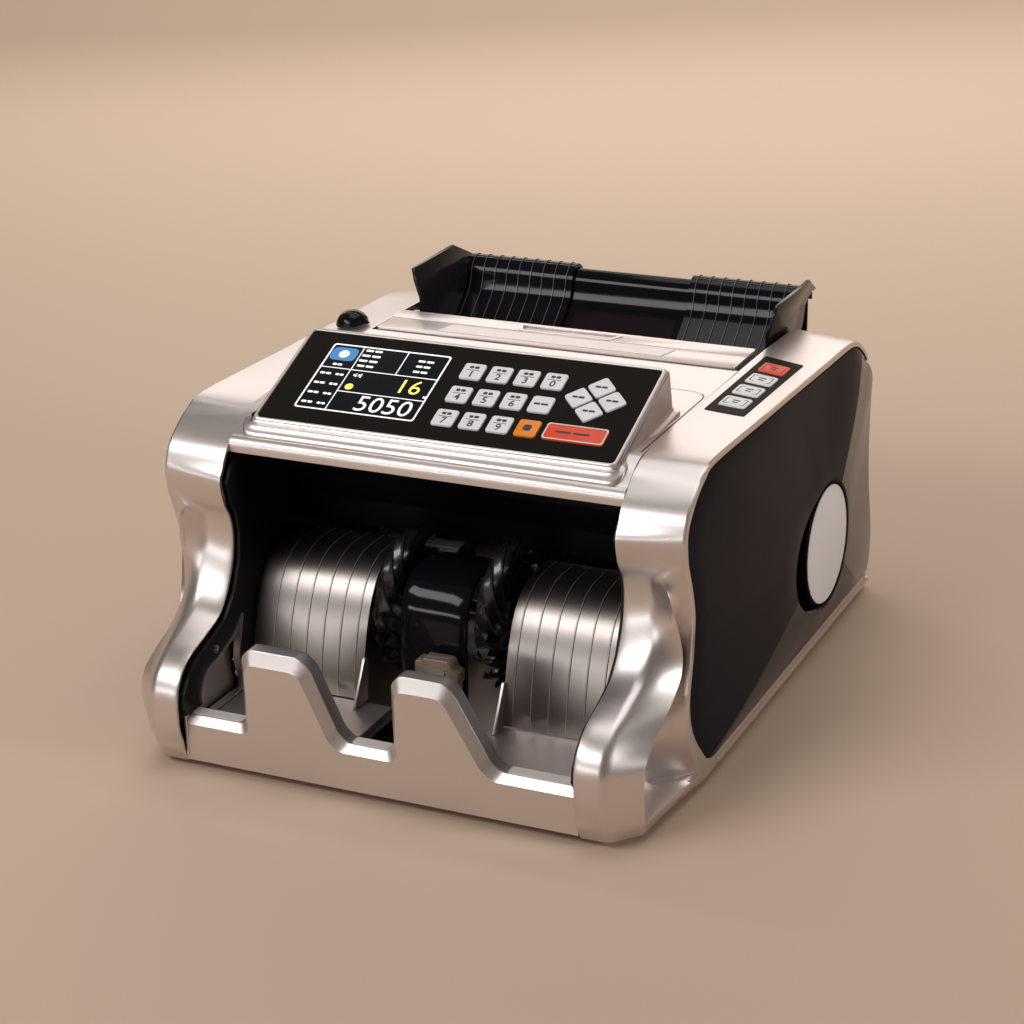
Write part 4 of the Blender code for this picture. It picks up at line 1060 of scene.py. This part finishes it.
class WheelOperator(bpy.types.Operator):
    """Stacker wheels with their curved leaf blades, on a steel shaft"""

    bl_idname = "counter.wheels"
    bl_label = "Stacker wheels"

    def execute(self, context):
        count = sizes().blades
        centre = Vector((WHEEL_Y, WHEEL_Z))
        for name, side in (("left", -1), ("right", 1)):
            middle = STACKER_CENTRE + side * WHEEL_OFFSET
            piece = Piece(f"{name}_wheel_blades")
            hub = [
                (4.3, -7), (WHEEL_HUB - 0.8, -7), (WHEEL_HUB, -6.2),
                (WHEEL_HUB, 6.2), (WHEEL_HUB - 0.8, 7), (4.3, 7),
            ]
            piece.add(turned(hub, (middle, WHEEL_Y, WHEEL_Z), "X", 32), "wheel_black")
            for blade in range(count):
                rows = []
                for step in range(13):
                    share = step / 12
                    radius = WHEEL_HUB - 1.5 + (WHEEL_RADIUS - WHEEL_HUB + 1.2) * share ** 0.85
                    angle = 2 * math.pi * blade / count - 1.15 * share ** 1.3
                    half = 7.0 * (1 - 0.93 * share ** 2.6)
                    lean = 1.6 * share
                    spot = centre + Vector((math.cos(angle), math.sin(angle))) * radius
                    sink = centre + Vector((math.cos(angle), math.sin(angle))) * (radius - 1.1)
                    rows.append([
                        (middle - half + lean, spot.x, spot.y), (middle + lean * 0.5, sink.x, sink.y),
                        (middle + half, spot.x, spot.y),
                    ])
                leaf = bent(sheet(rows), wall=1.1)
                piece.add(leaf, "wheel_black")
            piece.put(
                "stacker", [f"stacker_wheel_{name}"], "gloss_black", at=(0, WHEEL_Y, WHEEL_Z), sharp=50,
            )
        dress("steel", "stacker_shaft")
        return {"FINISHED"}


class FrameOperator(bpy.types.Operator):
    """Black side frames with the bright rim of the finger openings"""

    bl_idname = "counter.frames"
    bl_label = "Side frames"

    def execute(self, context):
        dress("frame_steel", "left_frame", "right_frame")
        for name, side in (("left", -1), ("right", 1)):
            path = [Vector(LEAF_EDGE[0])] + smooth_line(LEAF_EDGE[1:], 4)
            inner = offset_line(path, 1.1)
            low, high = side * 110.6, side * 114.4
            rows = [
                lie(path, "X", low), lie(path, "X", high), lie(inner, "X", high), lie(inner, "X", low),
            ]
            bm = sheet([list(row) for row in zip(*rows)], around=True)
            bmesh.ops.recalc_face_normals(bm, faces=bm.faces)
            piece = Piece(f"{name}_opening_rim").add(bm, "rose_gold")
            liner = prism(offset_line(path, -2.0), "X", side * 117.5, side * 118.5)
            piece.add(liner, "rose_gold")
            screw = [(0.01, 0), (2.6, 0)]
            for radius, depth in ((2.6, 0.5), (1.7, 0.5), (1.4, 0.2), (0.01, 0.2)):
                screw.append((radius, -side * depth))
            piece.add(turned(screw, (side * 111.6, -146.0, 56.5), "X", 20), "steel")
            piece.put("chassis", slot="rose_gold")
        return {"FINISHED"}


def panel_place(x=0.0, y=0.0, z=0.0, turn=0.0):
    place = Matrix.Translation((0, PANEL_Y, PANEL_Z)) @ Matrix.Rotation(PANEL_TILT, 4, "X")
    return place @ Matrix.Translation((x, y, z)) @ Matrix.Rotation(turn, 4, "Z")


class ConsoleOperator(bpy.types.Operator):
    """Stepped console that carries the tilted keypad"""

    bl_idname = "counter.console"
    bl_label = "Console"

    def execute(self, context):
        place = panel_place()

        def on_panel(grow, level, radius):
            flat = rectangle(PANEL_WIDTH / 2 + grow, PANEL_HEIGHT / 2 + grow, radius, steps=6)
            return [place @ Vector((p.x, p.y, level)) for p in flat]

        def on_cover(grow, lift, radius):
            flat = rectangle(110.5 + grow, 44.0 + grow, radius, (0, -65.5), steps=6)
            return [Vector((p.x, p.y, height_at(COVER_TOP, p.y) + lift)) for p in flat]

        rim = [on_panel(*ring) for ring in (
            (0.35, -2.4, 3.0), (0.35, 0.1, 3.0), (0.7, 0.5, 3.2), (1.7, 0.55, 3.8), (2.3, 0.2, 4.2),
            (2.5, -0.7, 4.4), (3.1, -1.1, 4.8), (3.5, -1.5, 5.0), (3.8, -2.6, 5.2),
        )]
        foot = [on_cover(*ring) for ring in (
            (-3.6, 3.4, 6.0), (-2.9, 2.6, 6.5), (-1.4, 2.3, 7.5),
            (-0.5, 1.9, 8.0), (0, 1.1, 8.5), (0, -1.5, 8.5),
        )]
        top = rim[-1]
        base = foot[0]
        wall = [[a.lerp(b, share) for a, b in zip(top, base)] for share in (0.03, 0.5, 0.97)]
        bm = sheet(rim + wall + foot, around=True)
        bmesh.ops.recalc_face_normals(bm, faces=bm.faces)
        piece = Piece("console_skin").add(bm, "rose_gold")
        under = prism(rectangle(PANEL_WIDTH / 2 - 0.5, PANEL_HEIGHT / 2 - 0.5, 3), "Z", -3.4, -2.2)
        piece.add(under, "satin_black", place)
        piece.put("chassis", ["console_housing"], "rose_gold", sharp=26)
        return {"FINISHED"}


def key_places():
    """Name, centre, size, turn, finish and figure of each panel key."""
    figures = ("1", "2", "3", "0", "4", "5", "6", "", "7", "8", "9", "square")
    keys = []
    for row in range(3):
        for column in range(4):
            centre = (1.6 + column * KEY_PITCH_X, -0.7 + (1 - row) * KEY_PITCH_Y)
            figure = figures[row * 4 + column]
            finish = "key_orange" if figure == "square" else "key_white"
            name = f"panel_key_{row + 1}{column + 1}"
            keys.append((name, centre, (KEY_SIZE, KEY_SIZE), 0.0, finish, figure))
    keys.append(("start_key", (75.8, -19.4), (34.2, 12.0), 0.0, "key_red", "wide"))
    for name, dx, dy in (("up", 0, 1), ("left", -1, 0), ("right", 1, 0), ("down", 0, -1)):
        centre = (76.3 + dx * 9.5, 8.0 + dy * 9.5)
        keys.append((f"diamond_key_{name}", centre, (11.8, 11.8), math.pi / 4, "key_white", "bars"))
    return keys


def cap(size, corner, low, high, crown=0.45):
    """A key cap with rounded corners and a softened top edge."""
    half_x, half_y = size[0] / 2, size[1] / 2
    loops = [
        lie(rectangle(half_x, half_y, corner), "Z", low),
        lie(rectangle(half_x, half_y, corner), "Z", high - crown),
        lie(rectangle(half_x - 0.13, half_y - 0.13, corner), "Z", high - 0.18),
        lie(rectangle(half_x - 0.45, half_y - 0.45, corner), "Z", high),
    ]
    return stack(loops)


def bar(x, y, width, height, low, high):
    return prism(rectangle(width / 2, height / 2, min(width, height) * 0.3, (x, y), 2), "Z", low, high)


class KeypadOperator(bpy.types.Operator):
    """Keypad plate and its printed key caps"""

    bl_idname = "counter.keypad"
    bl_label = "Keypad"

    def execute(self, context):
        corner = sizes().key_corner
        holes = []
        for name, centre, size, turn, finish, figure in key_places():
            hole = prism(rectangle(size[0] / 2 + 0.25, size[1] / 2 + 0.25, corner), "Z", -4, 3)
            place = Matrix.Translation((*centre, 0)) @ Matrix.Rotation(turn, 4, "Z")
            bmesh.ops.transform(hole, matrix=place, verts=hole.verts)
            holes.append(hole)
        plate = prism(rectangle(PANEL_WIDTH / 2, PANEL_HEIGHT / 2, 3.2, steps=6), "Z", -2.0, 0.0)
        plate = bent(plate, cutters=[together(holes)], bevel=0.2, segments=1)
        piece = Piece("keypad_skin").add(plate, "keypad_black", panel_place())
        piece.put("chassis", ["keypad_plate"], "keypad_black")
        for name, centre, size, turn, finish, figure in key_places():
            self.make_key(name, centre, size, turn, finish, figure, corner)
        return {"FINISHED"}

    def make_key(self, name, centre, size, turn, finish, figure, corner):
        place = panel_place(centre[0], centre[1], 0, turn)
        top = KEY_PROUD
        piece = Piece(name + "_skin").add(cap(size, corner, -1.1, top), finish, place)
        ink = (top - 0.05, top + 0.05)
        straight = panel_place(centre[0], centre[1], 0, 0)
        if figure == "square":
            piece.add(bar(0, 0, 4.6, 4.6, *ink), "print_dark", straight)
        elif figure == "wide":
            outer = rectangle(size[0] / 2 - 0.1, size[1] / 2 - 0.1, corner)
            inner = rectangle(size[0] / 2 - 0.8, size[1] / 2 - 0.8, corner)
            loops = [
                lie(outer, "Z", ink[0] - 0.1), lie(outer, "Z", ink[1] + 0.1),
                lie(inner, "Z", ink[1] + 0.1), lie(inner, "Z", ink[0]),
            ]
            bm = sheet(loops, around=True)
            bmesh.ops.recalc_face_normals(bm, faces=bm.faces)
            piece.add(bm, "print_white", place)
            for x, width in ((-6.6, 8.4), (3.5, 9.0)):
                piece.add(bar(x, 0, width, 1.5, *ink), "print_dark", straight)
        elif figure == "bars":
            for x, width in ((-1.9, 3.0), (1.7, 3.4)):
                piece.add(bar(x, 0, width, 1.5, *ink), "print_dark", straight)
        elif figure == "":
            for x, width in ((-2.2, 3.6), (2.1, 4.0)):
                piece.add(bar(x, 0, width, 1.5, *ink), "print_dark", straight)
        else:
            digit = lettering(figure, 6.6, 0.12)
            bmesh.ops.translate(digit, vec=(0, -2.6, ink[1]), verts=digit.verts)
            piece.add(digit, "print_dark", place)
            for x, y, width, height in ((-1.5, 2.9, 2.4, 1.9), (1.5, 2.9, 2.6, 1.9), (0, 0.65, 7.6, 0.4)):
                piece.add(bar(x, y, width, height, *ink), "print_dark", place)
        piece.put(name + "_cap", [name], finish)


class DisplayOperator(bpy.types.Operator):
    """Colour display with its lit cells and figures"""

    bl_idname = "counter.display"
    bl_label = "Display"

    def execute(self, context):
        centre = Vector((-50.6, 1.4))
        place = panel_place()
        half = Vector((36.0, 26.75))
        piece = Piece("display_skin")
        glass = prism(rectangle(half.x, half.y, 2.0, centre), "Z", -1.2, 0.05)
        piece.add(bent(glass, bevel=0.15, segments=1), "screen_glass", place)
        low, high = 0.0, 0.14
        frame_loops = []
        for grow, level in ((0.0, low), (0.0, high), (-0.9, high), (-0.9, low)):
            outline = rectangle(half.x + grow - 0.2, half.y + grow - 0.2, 2.0 + grow * 0.5, centre)
            frame_loops.append(lie(outline, "Z", level))
        piece.add(sheet(frame_loops, around=True), "lit_white", place)
        left, right = centre.x - half.x, centre.x + half.x
        bottom, top = centre.y - half.y, centre.y + half.y
        lines = (
            (-67.5, bottom, -67.5, top), (left, 8.5, right, 8.5),
            (-40.5, 8.5, -40.5, top), (-67.5, -9.0, right, -9.0),
        )
        for x0, y0, x1, y1 in lines:
            width, height = max(x1 - x0, 0.55), max(y1 - y0, 0.55)
            piece.add(bar((x0 + x1) / 2, (y0 + y1) / 2, width, height, low, high), "lit_white", place)
        piece.add(bar(-77.0, 20.0, 15.6, 10.4, low, high), "lit_blue", place)
        coin = [(0.01, 0), (3.0, 0), (3.0, high + 0.06), (0.01, high + 0.06)]
        piece.add(turned(coin, (-77.0, 20.0, 0), "Z", 24), "lit_white", place)
        totals = (("16", -28.5, -0.2, 15.5, "lit_yellow"), ("5050", -36.0, -17.2, 17.0, "lit_white"))
        for text, x, y, size, finish in totals:
            bm = lettering(text, size)
            bmesh.ops.translate(bm, vec=(x, y, high), verts=bm.verts)
            piece.add(bm, finish, place)
        levels = (3.6, -4.3, -12.2, -20.1)
        small = [(-80.5, y, 7.0) for y in levels] + [(-72.0, y, 5.2) for y in levels]
        small += [(-60.5, y, w) for y, w in ((25.0, 10.5), (20.8, 12.0), (16.6, 12.0), (12.4, 10.5))]
        small += [(-27.5, y, w) for y, w in ((21.5, 10.0), (17.2, 9.0), (12.9, 9.0))]
        small += [(-16.5, -6.0, 2.0), (-77.0, 11.4, 6.0)]
        for x, y, width in small:
            for part in (-0.27, 0.24):
                piece.add(bar(x + width * part, y, width * 0.42, 1.5, low, high), "lit_white", place)
        spot = turned([(0.01, 0), (2.4, 0), (2.4, 0.14), (0.01, 0.14)], (-62.3, -4.8, 0), "Z", 20)
        piece.add(spot, "lit_yellow", place)
        for x, height in ((-63.6, 1.4), (-62.4, 2.8), (-60.6, 2.2), (-59.4, 3.2)):
            piece.add(bar(x, 4.6, 0.7, height, low, high), "lit_white", place)
        piece.put("chassis", ["display_screen"], "screen_glass")
        return {"FINISHED"}


def band_place(x, y):
    """A frame lying on the top band, tilted with its outward fall."""
    side = math.copysign(1.0, x)
    share = (abs(x) - HALF_INNER) / (HALF_WIDTH - HALF_INNER)
    inner_z = TOP_Z - 0.4 / 48.0 * max(0.0, y)
    outer_z = TOP_Z - 3.4 - 2.2 / 64.0 * y
    fall = math.atan2(inner_z - outer_z, HALF_WIDTH - HALF_INNER) * side
    pitch = -math.atan(2.2 / 64.0) * share
    height = inner_z + (outer_z - inner_z) * share + 0.9
    turn = Matrix.Rotation(fall, 4, "Y") @ Matrix.Rotation(pitch, 4, "X")
    return Matrix.Translation((x, y, height)) @ turn


def settle(bm, place):
    """Bend a shape drawn on the band's frame so that it follows the crowned band exactly."""
    flat = place.inverted()
    for vert in bm.verts:
        side = abs(vert.co.x)
        share = (side - HALF_INNER) / (HALF_WIDTH - HALF_INNER)
        inner_z = TOP_Z - 0.4 / 48.0 * max(0.0, vert.co.y)
        outer_z = TOP_Z - 3.4 - 2.2 / 64.0 * vert.co.y
        lift = (flat @ vert.co).z
        vert.co.z = inner_z + (outer_z - inner_z) * share + BAND_CROWN * share ** 2 + lift
    return bm


def sliced(bm, count, half):
    """Cut a long shape across, so that it can bend."""
    for index in range(1, count):
        level = half * (2 * index / count - 1)
        everything = bm.verts[:] + bm.edges[:] + bm.faces[:]
        bmesh.ops.bisect_plane(bm, geom=everything, plane_co=(0, level, 0), plane_no=(0, 1, 0))
    return bm


class SideKeyOperator(bpy.types.Operator):
    """Strip of four keys on the right band"""

    bl_idname = "counter.side_keys"
    bl_label = "Side keys"

    def execute(self, context):
        place = band_place(STRIP_X, STRIP_Y)
        top = 0.35
        plate = prism(rectangle(11.25, STRIP_HALF, 0.8), "Z", -1.5, top)
        spots = [(index - 1.5) * SIDE_KEY_PITCH for index in range(4)]
        holes = [prism(rectangle(7.75, 8.05, 2.0, (0, spot)), "Z", -3, 6) for spot in spots]
        plate = bent(plate, cutters=[together(holes)], bevel=0.15, segments=1)
        plate = sliced(plate, 12, STRIP_HALF)
        bmesh.ops.transform(plate, matrix=place, verts=plate.verts)
        piece = Piece("side_strip_skin").add(settle(plate, place), "keypad_black")
        piece.put("chassis", ["side_key_plate"], "keypad_black")
        for index, spot in enumerate(spots):
            finish = "key_red" if index == 3 else "key_white"
            centre = Matrix.Translation((0, spot, 0))
            size = (15.0, 15.6)
            high = top + 0.55
            key = Piece(f"side_key_{index + 1}_skin")
            key.add(cap(size, 2.2, -1.5, high), finish, place @ centre)
            ink = (high - 0.05, high + 0.05)
            strokes = ((5.6, 0, 0.5, 9.0), (4.6, 4.3, 2.4, 0.5), (4.6, -4.3, 2.4, 0.5))
            for x in (-1, 1):
                for dx, dy, width, height in strokes:
                    key.add(bar(x * dx, dy, width, height, *ink), "print_dark", place @ centre)
            for y, width in ((1.6, 4.4), (-1.4, 3.2)):
                key.add(bar(0, y, width, 1.7, *ink), "print_dark", place @ centre)
            settle(key.bm, place)
            key.put(f"side_key_{index + 1}_cap", [f"side_key_{index + 1}"], finish)
        return {"FINISHED"}


class KnobOperator(bpy.types.Operator):
    """Domed thickness knob on the left band"""

    bl_idname = "counter.knob"
    bl_label = "Thickness knob"

    def execute(self, context):
        profile = [(0.01, 0.3), (8.6, 0.3), (9.6, 0.7), (9.8, 1.4), (9.7, 2.6)]
        for step in range(1, 11):
            angle = math.radians(8 + 82 * step / 10)
            profile.append((max(0.01, 9.75 * math.cos(angle)), 0.2 + 8.8 * math.sin(angle)))
        bm = turned(profile, (0, 0, 0), "Z", 48)
        pointer = prism(rounded([(6.5, -4.0), (12.2, 0.0), (6.5, 4.0)], 1.5), "Z", 0.35, 1.5)
        piece = Piece("knob_skin").add(bm, "gloss_black", band_place(KNOB_X, KNOB_Y))
        piece.add(bent(pointer, bevel=0.3), "gloss_black", band_place(KNOB_X, KNOB_Y))
        piece.put("knob", ["thickness_knob"], "gloss_black", at=band_place(KNOB_X, KNOB_Y).to_translation())
        return {"FINISHED"}


class TopOperator(bpy.types.Operator):
    """Top cover with its front lip, the seam round the console, and the access flap"""

    bl_idname = "counter.top"
    bl_label = "Top cover and flap"

    def execute(self, context):
        front = smooth_line(COVER_TOP[:-1], 4)
        line = [(p.x, p.y) for p in front] + [(-60, TOP_Z), (-20, TOP_Z), (20, TOP_Z), (49.4, TOP_Z - 0.05)]
        half = HALF_INNER - 0.05
        rows = [[(x, y, z) for x in (-half, -half + 0.3, -60, 0, 60, half - 0.3, half)] for y, z in line]
        window = block((-97, -92, 150), (97, -37, 190))
        skin = bent(sheet(rows), wall=2.6, cutters=[window])
        piece = Piece("top_skin").add(skin, "rose_gold")
        seam = [(-112.6, y) for y in (-86, -60, -20, 0)]
        seam += [(-111.8, 4), (-109.5, 7.5), (-106, 9.5), (-101, 10)]
        seam += [(-x, y) for x, y in reversed(seam)]
        for grow, finish, lift in ((0.0, "pit_black", 0.05), (0.75, "rose_gold", 0.3)):
            rows = []
            for x, y in seam:
                inward = Vector((-x, -50 - y)).normalized()
                near = Vector((x, y)) + inward * grow
                far = near + inward * 0.55
                rows.append([(p.x, p.y, height_at(COVER_TOP, p.y) + lift) for p in (near, far)])
            piece.add(sheet(rows), finish)
        piece.put("chassis", ["top_cover"], "rose_gold")

        flap = Piece("flap_skin")
        plate = prism(rectangle(111.3, 17.5, 2.0, (0, 68.5)), "Z", 175.3, 178.1)
        grip = prism(rounded([(-27, 73.0), (26, 73.0), (30, 81.5), (-31, 81.5)], 2.0), "Z", 176.9, 190)
        step = block((-120, 71.2, 177.7), (120, 71.8, 190))
        flap.add(bent(plate, bevel=0.6, cutters=[grip, step]), "rose_gold")
        # Textured strip in the lighter stipple paint: painted sheen.
        strip = prism(rounded([(-74, 55.5), (66, 55.5), (70, 68.5), (-70, 68.5)], 1.5), "Z", 177.9, 178.5)
        flap.add(bent(strip, bevel=0.25, segments=1), "rose_stipple_painted_sheen")
        edge = rounded([(-29, 72.2), (28, 72.2), (32.5, 82.3), (-33.5, 82.3)], 2.4)
        inner = rounded([(-27, 73.2), (26, 73.2), (30, 81.3), (-31, 81.3)], 2.0)
        bead = [
            lie(edge, "Z", 178.0), lie(edge, "Z", 178.45), lie(inner, "Z", 178.45), lie(inner, "Z", 177.0),
        ]
        flap.add(sheet(bead, around=True), "rose_gold")
        flap.put("flap", ["access_flap"], "rose_gold", at=(0, 53.0, 176.6))
        return {"FINISHED"}


class HopperOperator(bpy.types.Operator):
    """Hopper tray with its ribs, and the two sliding note guides"""

    bl_idname = "counter.hopper"
    bl_label = "Hopper"

    def execute(self, context):
        line = smooth_line(TRAY_PROFILE, 4)
        pitch = sizes().hopper_rib_pitch
        tray = Piece("tray_skin")
        deck = sheet([[(x, *point) for x in (-108.4, 0, 108.4)] for point in line])
        tray.add(bent(deck, wall=2.0), "satin_black")
        roll = offset_line([tuple(p) for p in line[20:42]], 0.25)
        patch_line = offset_line([tuple(p) for p in line[2:20]], 0.25)
        strips = ((37.4, roll, 0.6, "gloss_black"), (33, patch_line, 0.4, "wine_patch"))
        for half, part, wall, finish in strips:
            strip = sheet([[(-half, *point), (half, *point)] for point in part])
            tray.add(bent(strip, wall=wall), finish)
        tray.put("chassis", ["hopper_tray"], "satin_black")

        smooth = offset_line([tuple(p) for p in line[8:41]], 2.9)
        top = offset_line([tuple(p) for p in smooth], 0.55)
        rear_limit = CAD_BOX[1][1] * 1000 - 0.05
        smooth, top = ([Vector((min(p[0], rear_limit), p[1])) for p in part] for part in (smooth, top))
        for name, side in (("left", -1), ("right", 1)):
            across = [(38.0, 0.0)]
            x = 42.0
            while x < 107.0:
                across += [(x - 0.6, 0.0), (x - 0.25, 1.0), (x + 0.25, 1.0), (x + 0.6, 0.0)]
                x += pitch
            across.append((110.2, 0.0))
            rows = []
            for low, high in zip(smooth, top):
                rows.append([(side * x, *low.lerp(high, share)) for x, share in across])
            bm = sheet(rows)
            if side < 0:
                bmesh.ops.reverse_faces(bm, faces=bm.faces)
            lines = [(a[0] + b[0]) / 2 for a, b in zip(across, across[1:]) if a[1] == b[1] == 1.0]

            # Faces along a rib crest get the lighter black, a painted highlight.
            def saddle_rib_highlight_mask(centre, lines=lines):
                return "rib_black" if min(abs(abs(centre.x) - x) for x in lines) < 0.2 else "gloss_black"

            guide = Piece(f"hopper_guide_{name}_skin").add(bent(bm, wall=2.0), saddle_rib_highlight_mask)
            foot = offset_line([tuple(p) for p in line[8:37]], 1.2)[::-1]
            wing = prism(WING_TOP + foot, "X", side * 110.2 - 1.1, side * 110.2 + 1.1)
            everything = wing.verts[:] + wing.edges[:] + wing.faces[:]
            bmesh.ops.bisect_plane(wing, geom=everything, plane_co=(0, 0, 179), plane_no=(0, 0, 1))
            for vert in wing.verts:
                vert.co.x += side * 0.3 * max(0.0, vert.co.z - 179)
            guide.add(bent(wing, bevel=0.5), "smoke")
            guide.put(f"guide_{name}", [f"hopper_guide_{name}"], "gloss_black")
        return {"FINISHED"}


class HandwheelOperator(bpy.types.Operator):
    """Handwheel with its knurled rim and pale face"""

    bl_idname = "counter.handwheel"
    bl_label = "Handwheel"

    def execute(self, context):
        back = SIDE_X + COVER_BULGE - 8.6
        rim = HANDWHEEL_RADIUS
        count = sizes().knurls * 2
        rows = []
        for step in range(count):
            angle = 2 * math.pi * step / count
            edge = rim - (0.55 if step % 2 else 0.0)
            row = []
            profile = (
                (4.3, 0), (rim - 2, 0), (edge - 0.6, 0.5), (edge, 1.3),
                (edge, 7.0), (edge - 0.5, 7.7), (rim - 1.6, 8.1), (4.3, 8.1),
            )
            for radius, x in profile:
                row.append((back + x, HUB_Y + radius * math.cos(angle), HUB_Z + radius * math.sin(angle)))
            rows.append(row)
        bm = sheet(rows, around=True, lengthwise=True)
        bmesh.ops.recalc_face_normals(bm, faces=bm.faces)
        piece = Piece("handwheel_skin").add(bm, "satin_black")
        ring = [(33.2, 7.9), (34.3, 7.9), (34.3, 8.45), (33.9, 8.58), (33.2, 8.58)]
        piece.add(turned(ring, (back, HUB_Y, HUB_Z), "X", 96), "print_white")
        face = [(0.01, 7.8), (33.25, 7.8), (33.25, 8.45), (32.9, 8.55), (0.01, 8.55)]
        piece.add(turned(face, (back, HUB_Y, HUB_Z), "X", 96), "disc_grey")
        piece.put("main_drive", ["handwheel"], "disc_grey", at=(0, HUB_Y, HUB_Z))
        return {"FINISHED"}


class RearOperator(bpy.types.Operator):
    """Rear cover with its vents, power inlet and switch"""

    bl_idname = "counter.rear"
    bl_label = "Rear cover"

    def execute(self, context):
        half = 146.4
        line = smooth_line(REAR_PROFILE[:4], 3)[:-1] + [Vector(p) for p in REAR_PROFILE[3:]]
        rows = [[(x, *point) for x in (-half, 0, half)] for point in line]
        slots = []
        for column in range(9):
            for row in range(2):
                slot = rectangle(2.4, 14.0, 2.4, (22.0 + column * 12.0, 62.0 + row * 34.0))
                slots.append(prism(slot, "Y", REAR_Y - 8, REAR_Y + 8))
        openings = [together(slots)]
        for x, width, height in ((INLET_X, 30.6, 22.6), (SWITCH_X, 13.6, 20.6)):
            low = (x - width / 2, REAR_Y - 10, INLET_Z - height / 2)
            high = (x + width / 2, REAR_Y + 8, INLET_Z + height / 2)
            openings.append(block(low, high))
        cover = bent(sheet(rows), wall=2.2, cutters=openings)
        piece = Piece("rear_skin").add(cover, "rear_black")
        for x, z in ((-138, 20), (138, 20), (-138, 128), (138, 128), (0, 20)):
            y = REAR_Y if z < 100 else REAR_Y + 3.0
            screw = [(0.01, -1.5), (3.6, -1.5), (3.6, 0.4), (3.0, 0.9), (1.5, 0.9), (1.5, 0.1), (0.01, 0.1)]
            piece.add(turned(screw, (x, y, z), "Y", 24), "steel")
        piece.put("chassis", ["rear_cover"], "satin_black")

        inlet = Piece("inlet_skin")
        collar = rectangle(15.0, 11.0, 1.6, (INLET_X, INLET_Z))
        socket = rectangle(11.5, 7.0, 2.2, (INLET_X, INLET_Z))
        loops = [
            lie(collar, "Y", REAR_Y - 9), lie(collar, "Y", REAR_Y + 1.1),
            lie(rectangle(14.6, 10.6, 1.6, (INLET_X, INLET_Z)), "Y", REAR_Y + 1.5),
            lie(rectangle(11.9, 7.4, 2.2, (INLET_X, INLET_Z)), "Y", REAR_Y + 1.5),
            lie(socket, "Y", REAR_Y + 1.1), lie(socket, "Y", REAR_Y - 6.9),
        ]
        inlet.add(stack(loops), "wheel_black")
        for x, z in ((-4.5, -1.6), (4.5, -1.6), (0, 2.4)):
            low = (INLET_X + x - 0.9, REAR_Y - 7, INLET_Z + z - 1.8)
            high = (INLET_X + x + 0.9, REAR_Y - 0.8, INLET_Z + z + 1.8)
            inlet.add(bent(block(low, high), bevel=0.3), "steel")
        inlet.put("chassis", ["power_inlet"], "satin_black")

        switch = Piece("switch_skin")
        body = rounded([(-8.8, -6), (8.8, -6), (8.8, 0.9), (0.6, -0.5), (-8.8, 0.9)], 0.8)
        shape = [(REAR_Y + depth, INLET_Z + height) for height, depth in body]
        switch.add(bent(prism(shape, "X", SWITCH_X - 5.8, SWITCH_X + 5.8), bevel=0.5), "wheel_black")
        low = (SWITCH_X - 0.5, REAR_Y + 0.2, INLET_Z + 3.5)
        high = (SWITCH_X + 0.5, REAR_Y + 0.62, INLET_Z + 6.5)
        switch.add(block(low, high), "print_white")
        switch.put("switch", ["power_switch"], "satin_black", at=(SWITCH_X, REAR_Y - 2.5, INLET_Z))
        return {"FINISHED"}


class BaseOperator(bpy.types.Operator):
    """Base plate, feet and the parts inside"""

    bl_idname = "counter.base"
    bl_label = "Base, feet and drive"

    def execute(self, context):
        dress("rose_gold", "base_plate")
        dress("steel", "main_shaft", "drive_motor", "motor_pulley")
        dress("rubber", "feed_roller", "drive_belt")
        dress("board_green", "control_board")
        for place in ("front_left", "front_right", "rear_left", "rear_right"):
            low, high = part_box("foot_" + place)
            centre = (low + high) * 500
            foot = [(0.01, 0), (9.4, 0), (10.5, 0.4), (11.0, 1.2), (11.0, 3.2), (0.01, 3.2)]
            pad = turned(foot, (centre.x, centre.y, 0), "Z", 32)
            piece = Piece(f"foot_{place}_skin").add(pad, "rubber")
            piece.put("chassis", ["foot_" + place], "rubber")
        return {"FINISHED"}


OPERATORS = (
    StageOperator, ShellOperator, CoverOperator, FrontPlateOperator, GuideOperator, CavityOperator,
    WheelOperator, FrameOperator, TopOperator, ConsoleOperator, KeypadOperator, DisplayOperator,
    SideKeyOperator, KnobOperator, HopperOperator, HandwheelOperator, RearOperator, BaseOperator,
)


class CounterPanel(bpy.types.Panel):
    """Lists the operators that build the machine."""

    bl_idname = "COUNTER_PT_panel"
    bl_label = "Banknote counter"
    bl_space_type = "VIEW_3D"
    bl_region_type = "UI"
    bl_category = "Counter"

    def draw(self, context):
        for group in (context.scene.counter_colours, context.scene.counter_sizes):
            for name in group.bl_rna.properties.keys():
                if name not in ("rna_type", "name"):
                    self.layout.prop(group, name)
        for operator in OPERATORS:
            self.layout.operator(operator.bl_idname)


CLASSES = (CounterColours, CounterSizes, *OPERATORS, CounterPanel)


def register():
    for cls in CLASSES:
        bpy.utils.register_class(cls)
    bpy.types.Scene.counter_colours = bpy.props.PointerProperty(type=CounterColours)
    bpy.types.Scene.counter_sizes = bpy.props.PointerProperty(type=CounterSizes)


def unregister():
    del bpy.types.Scene.counter_sizes
    del bpy.types.Scene.counter_colours
    for cls in reversed(CLASSES):
        bpy.utils.unregister_class(cls)


def main():
    register()
    make_finishes()
    for operator in OPERATORS:
        group, name = operator.bl_idname.split(".")
        getattr(getattr(bpy.ops, group), name)()


if __name__ == "__main__":
    main()
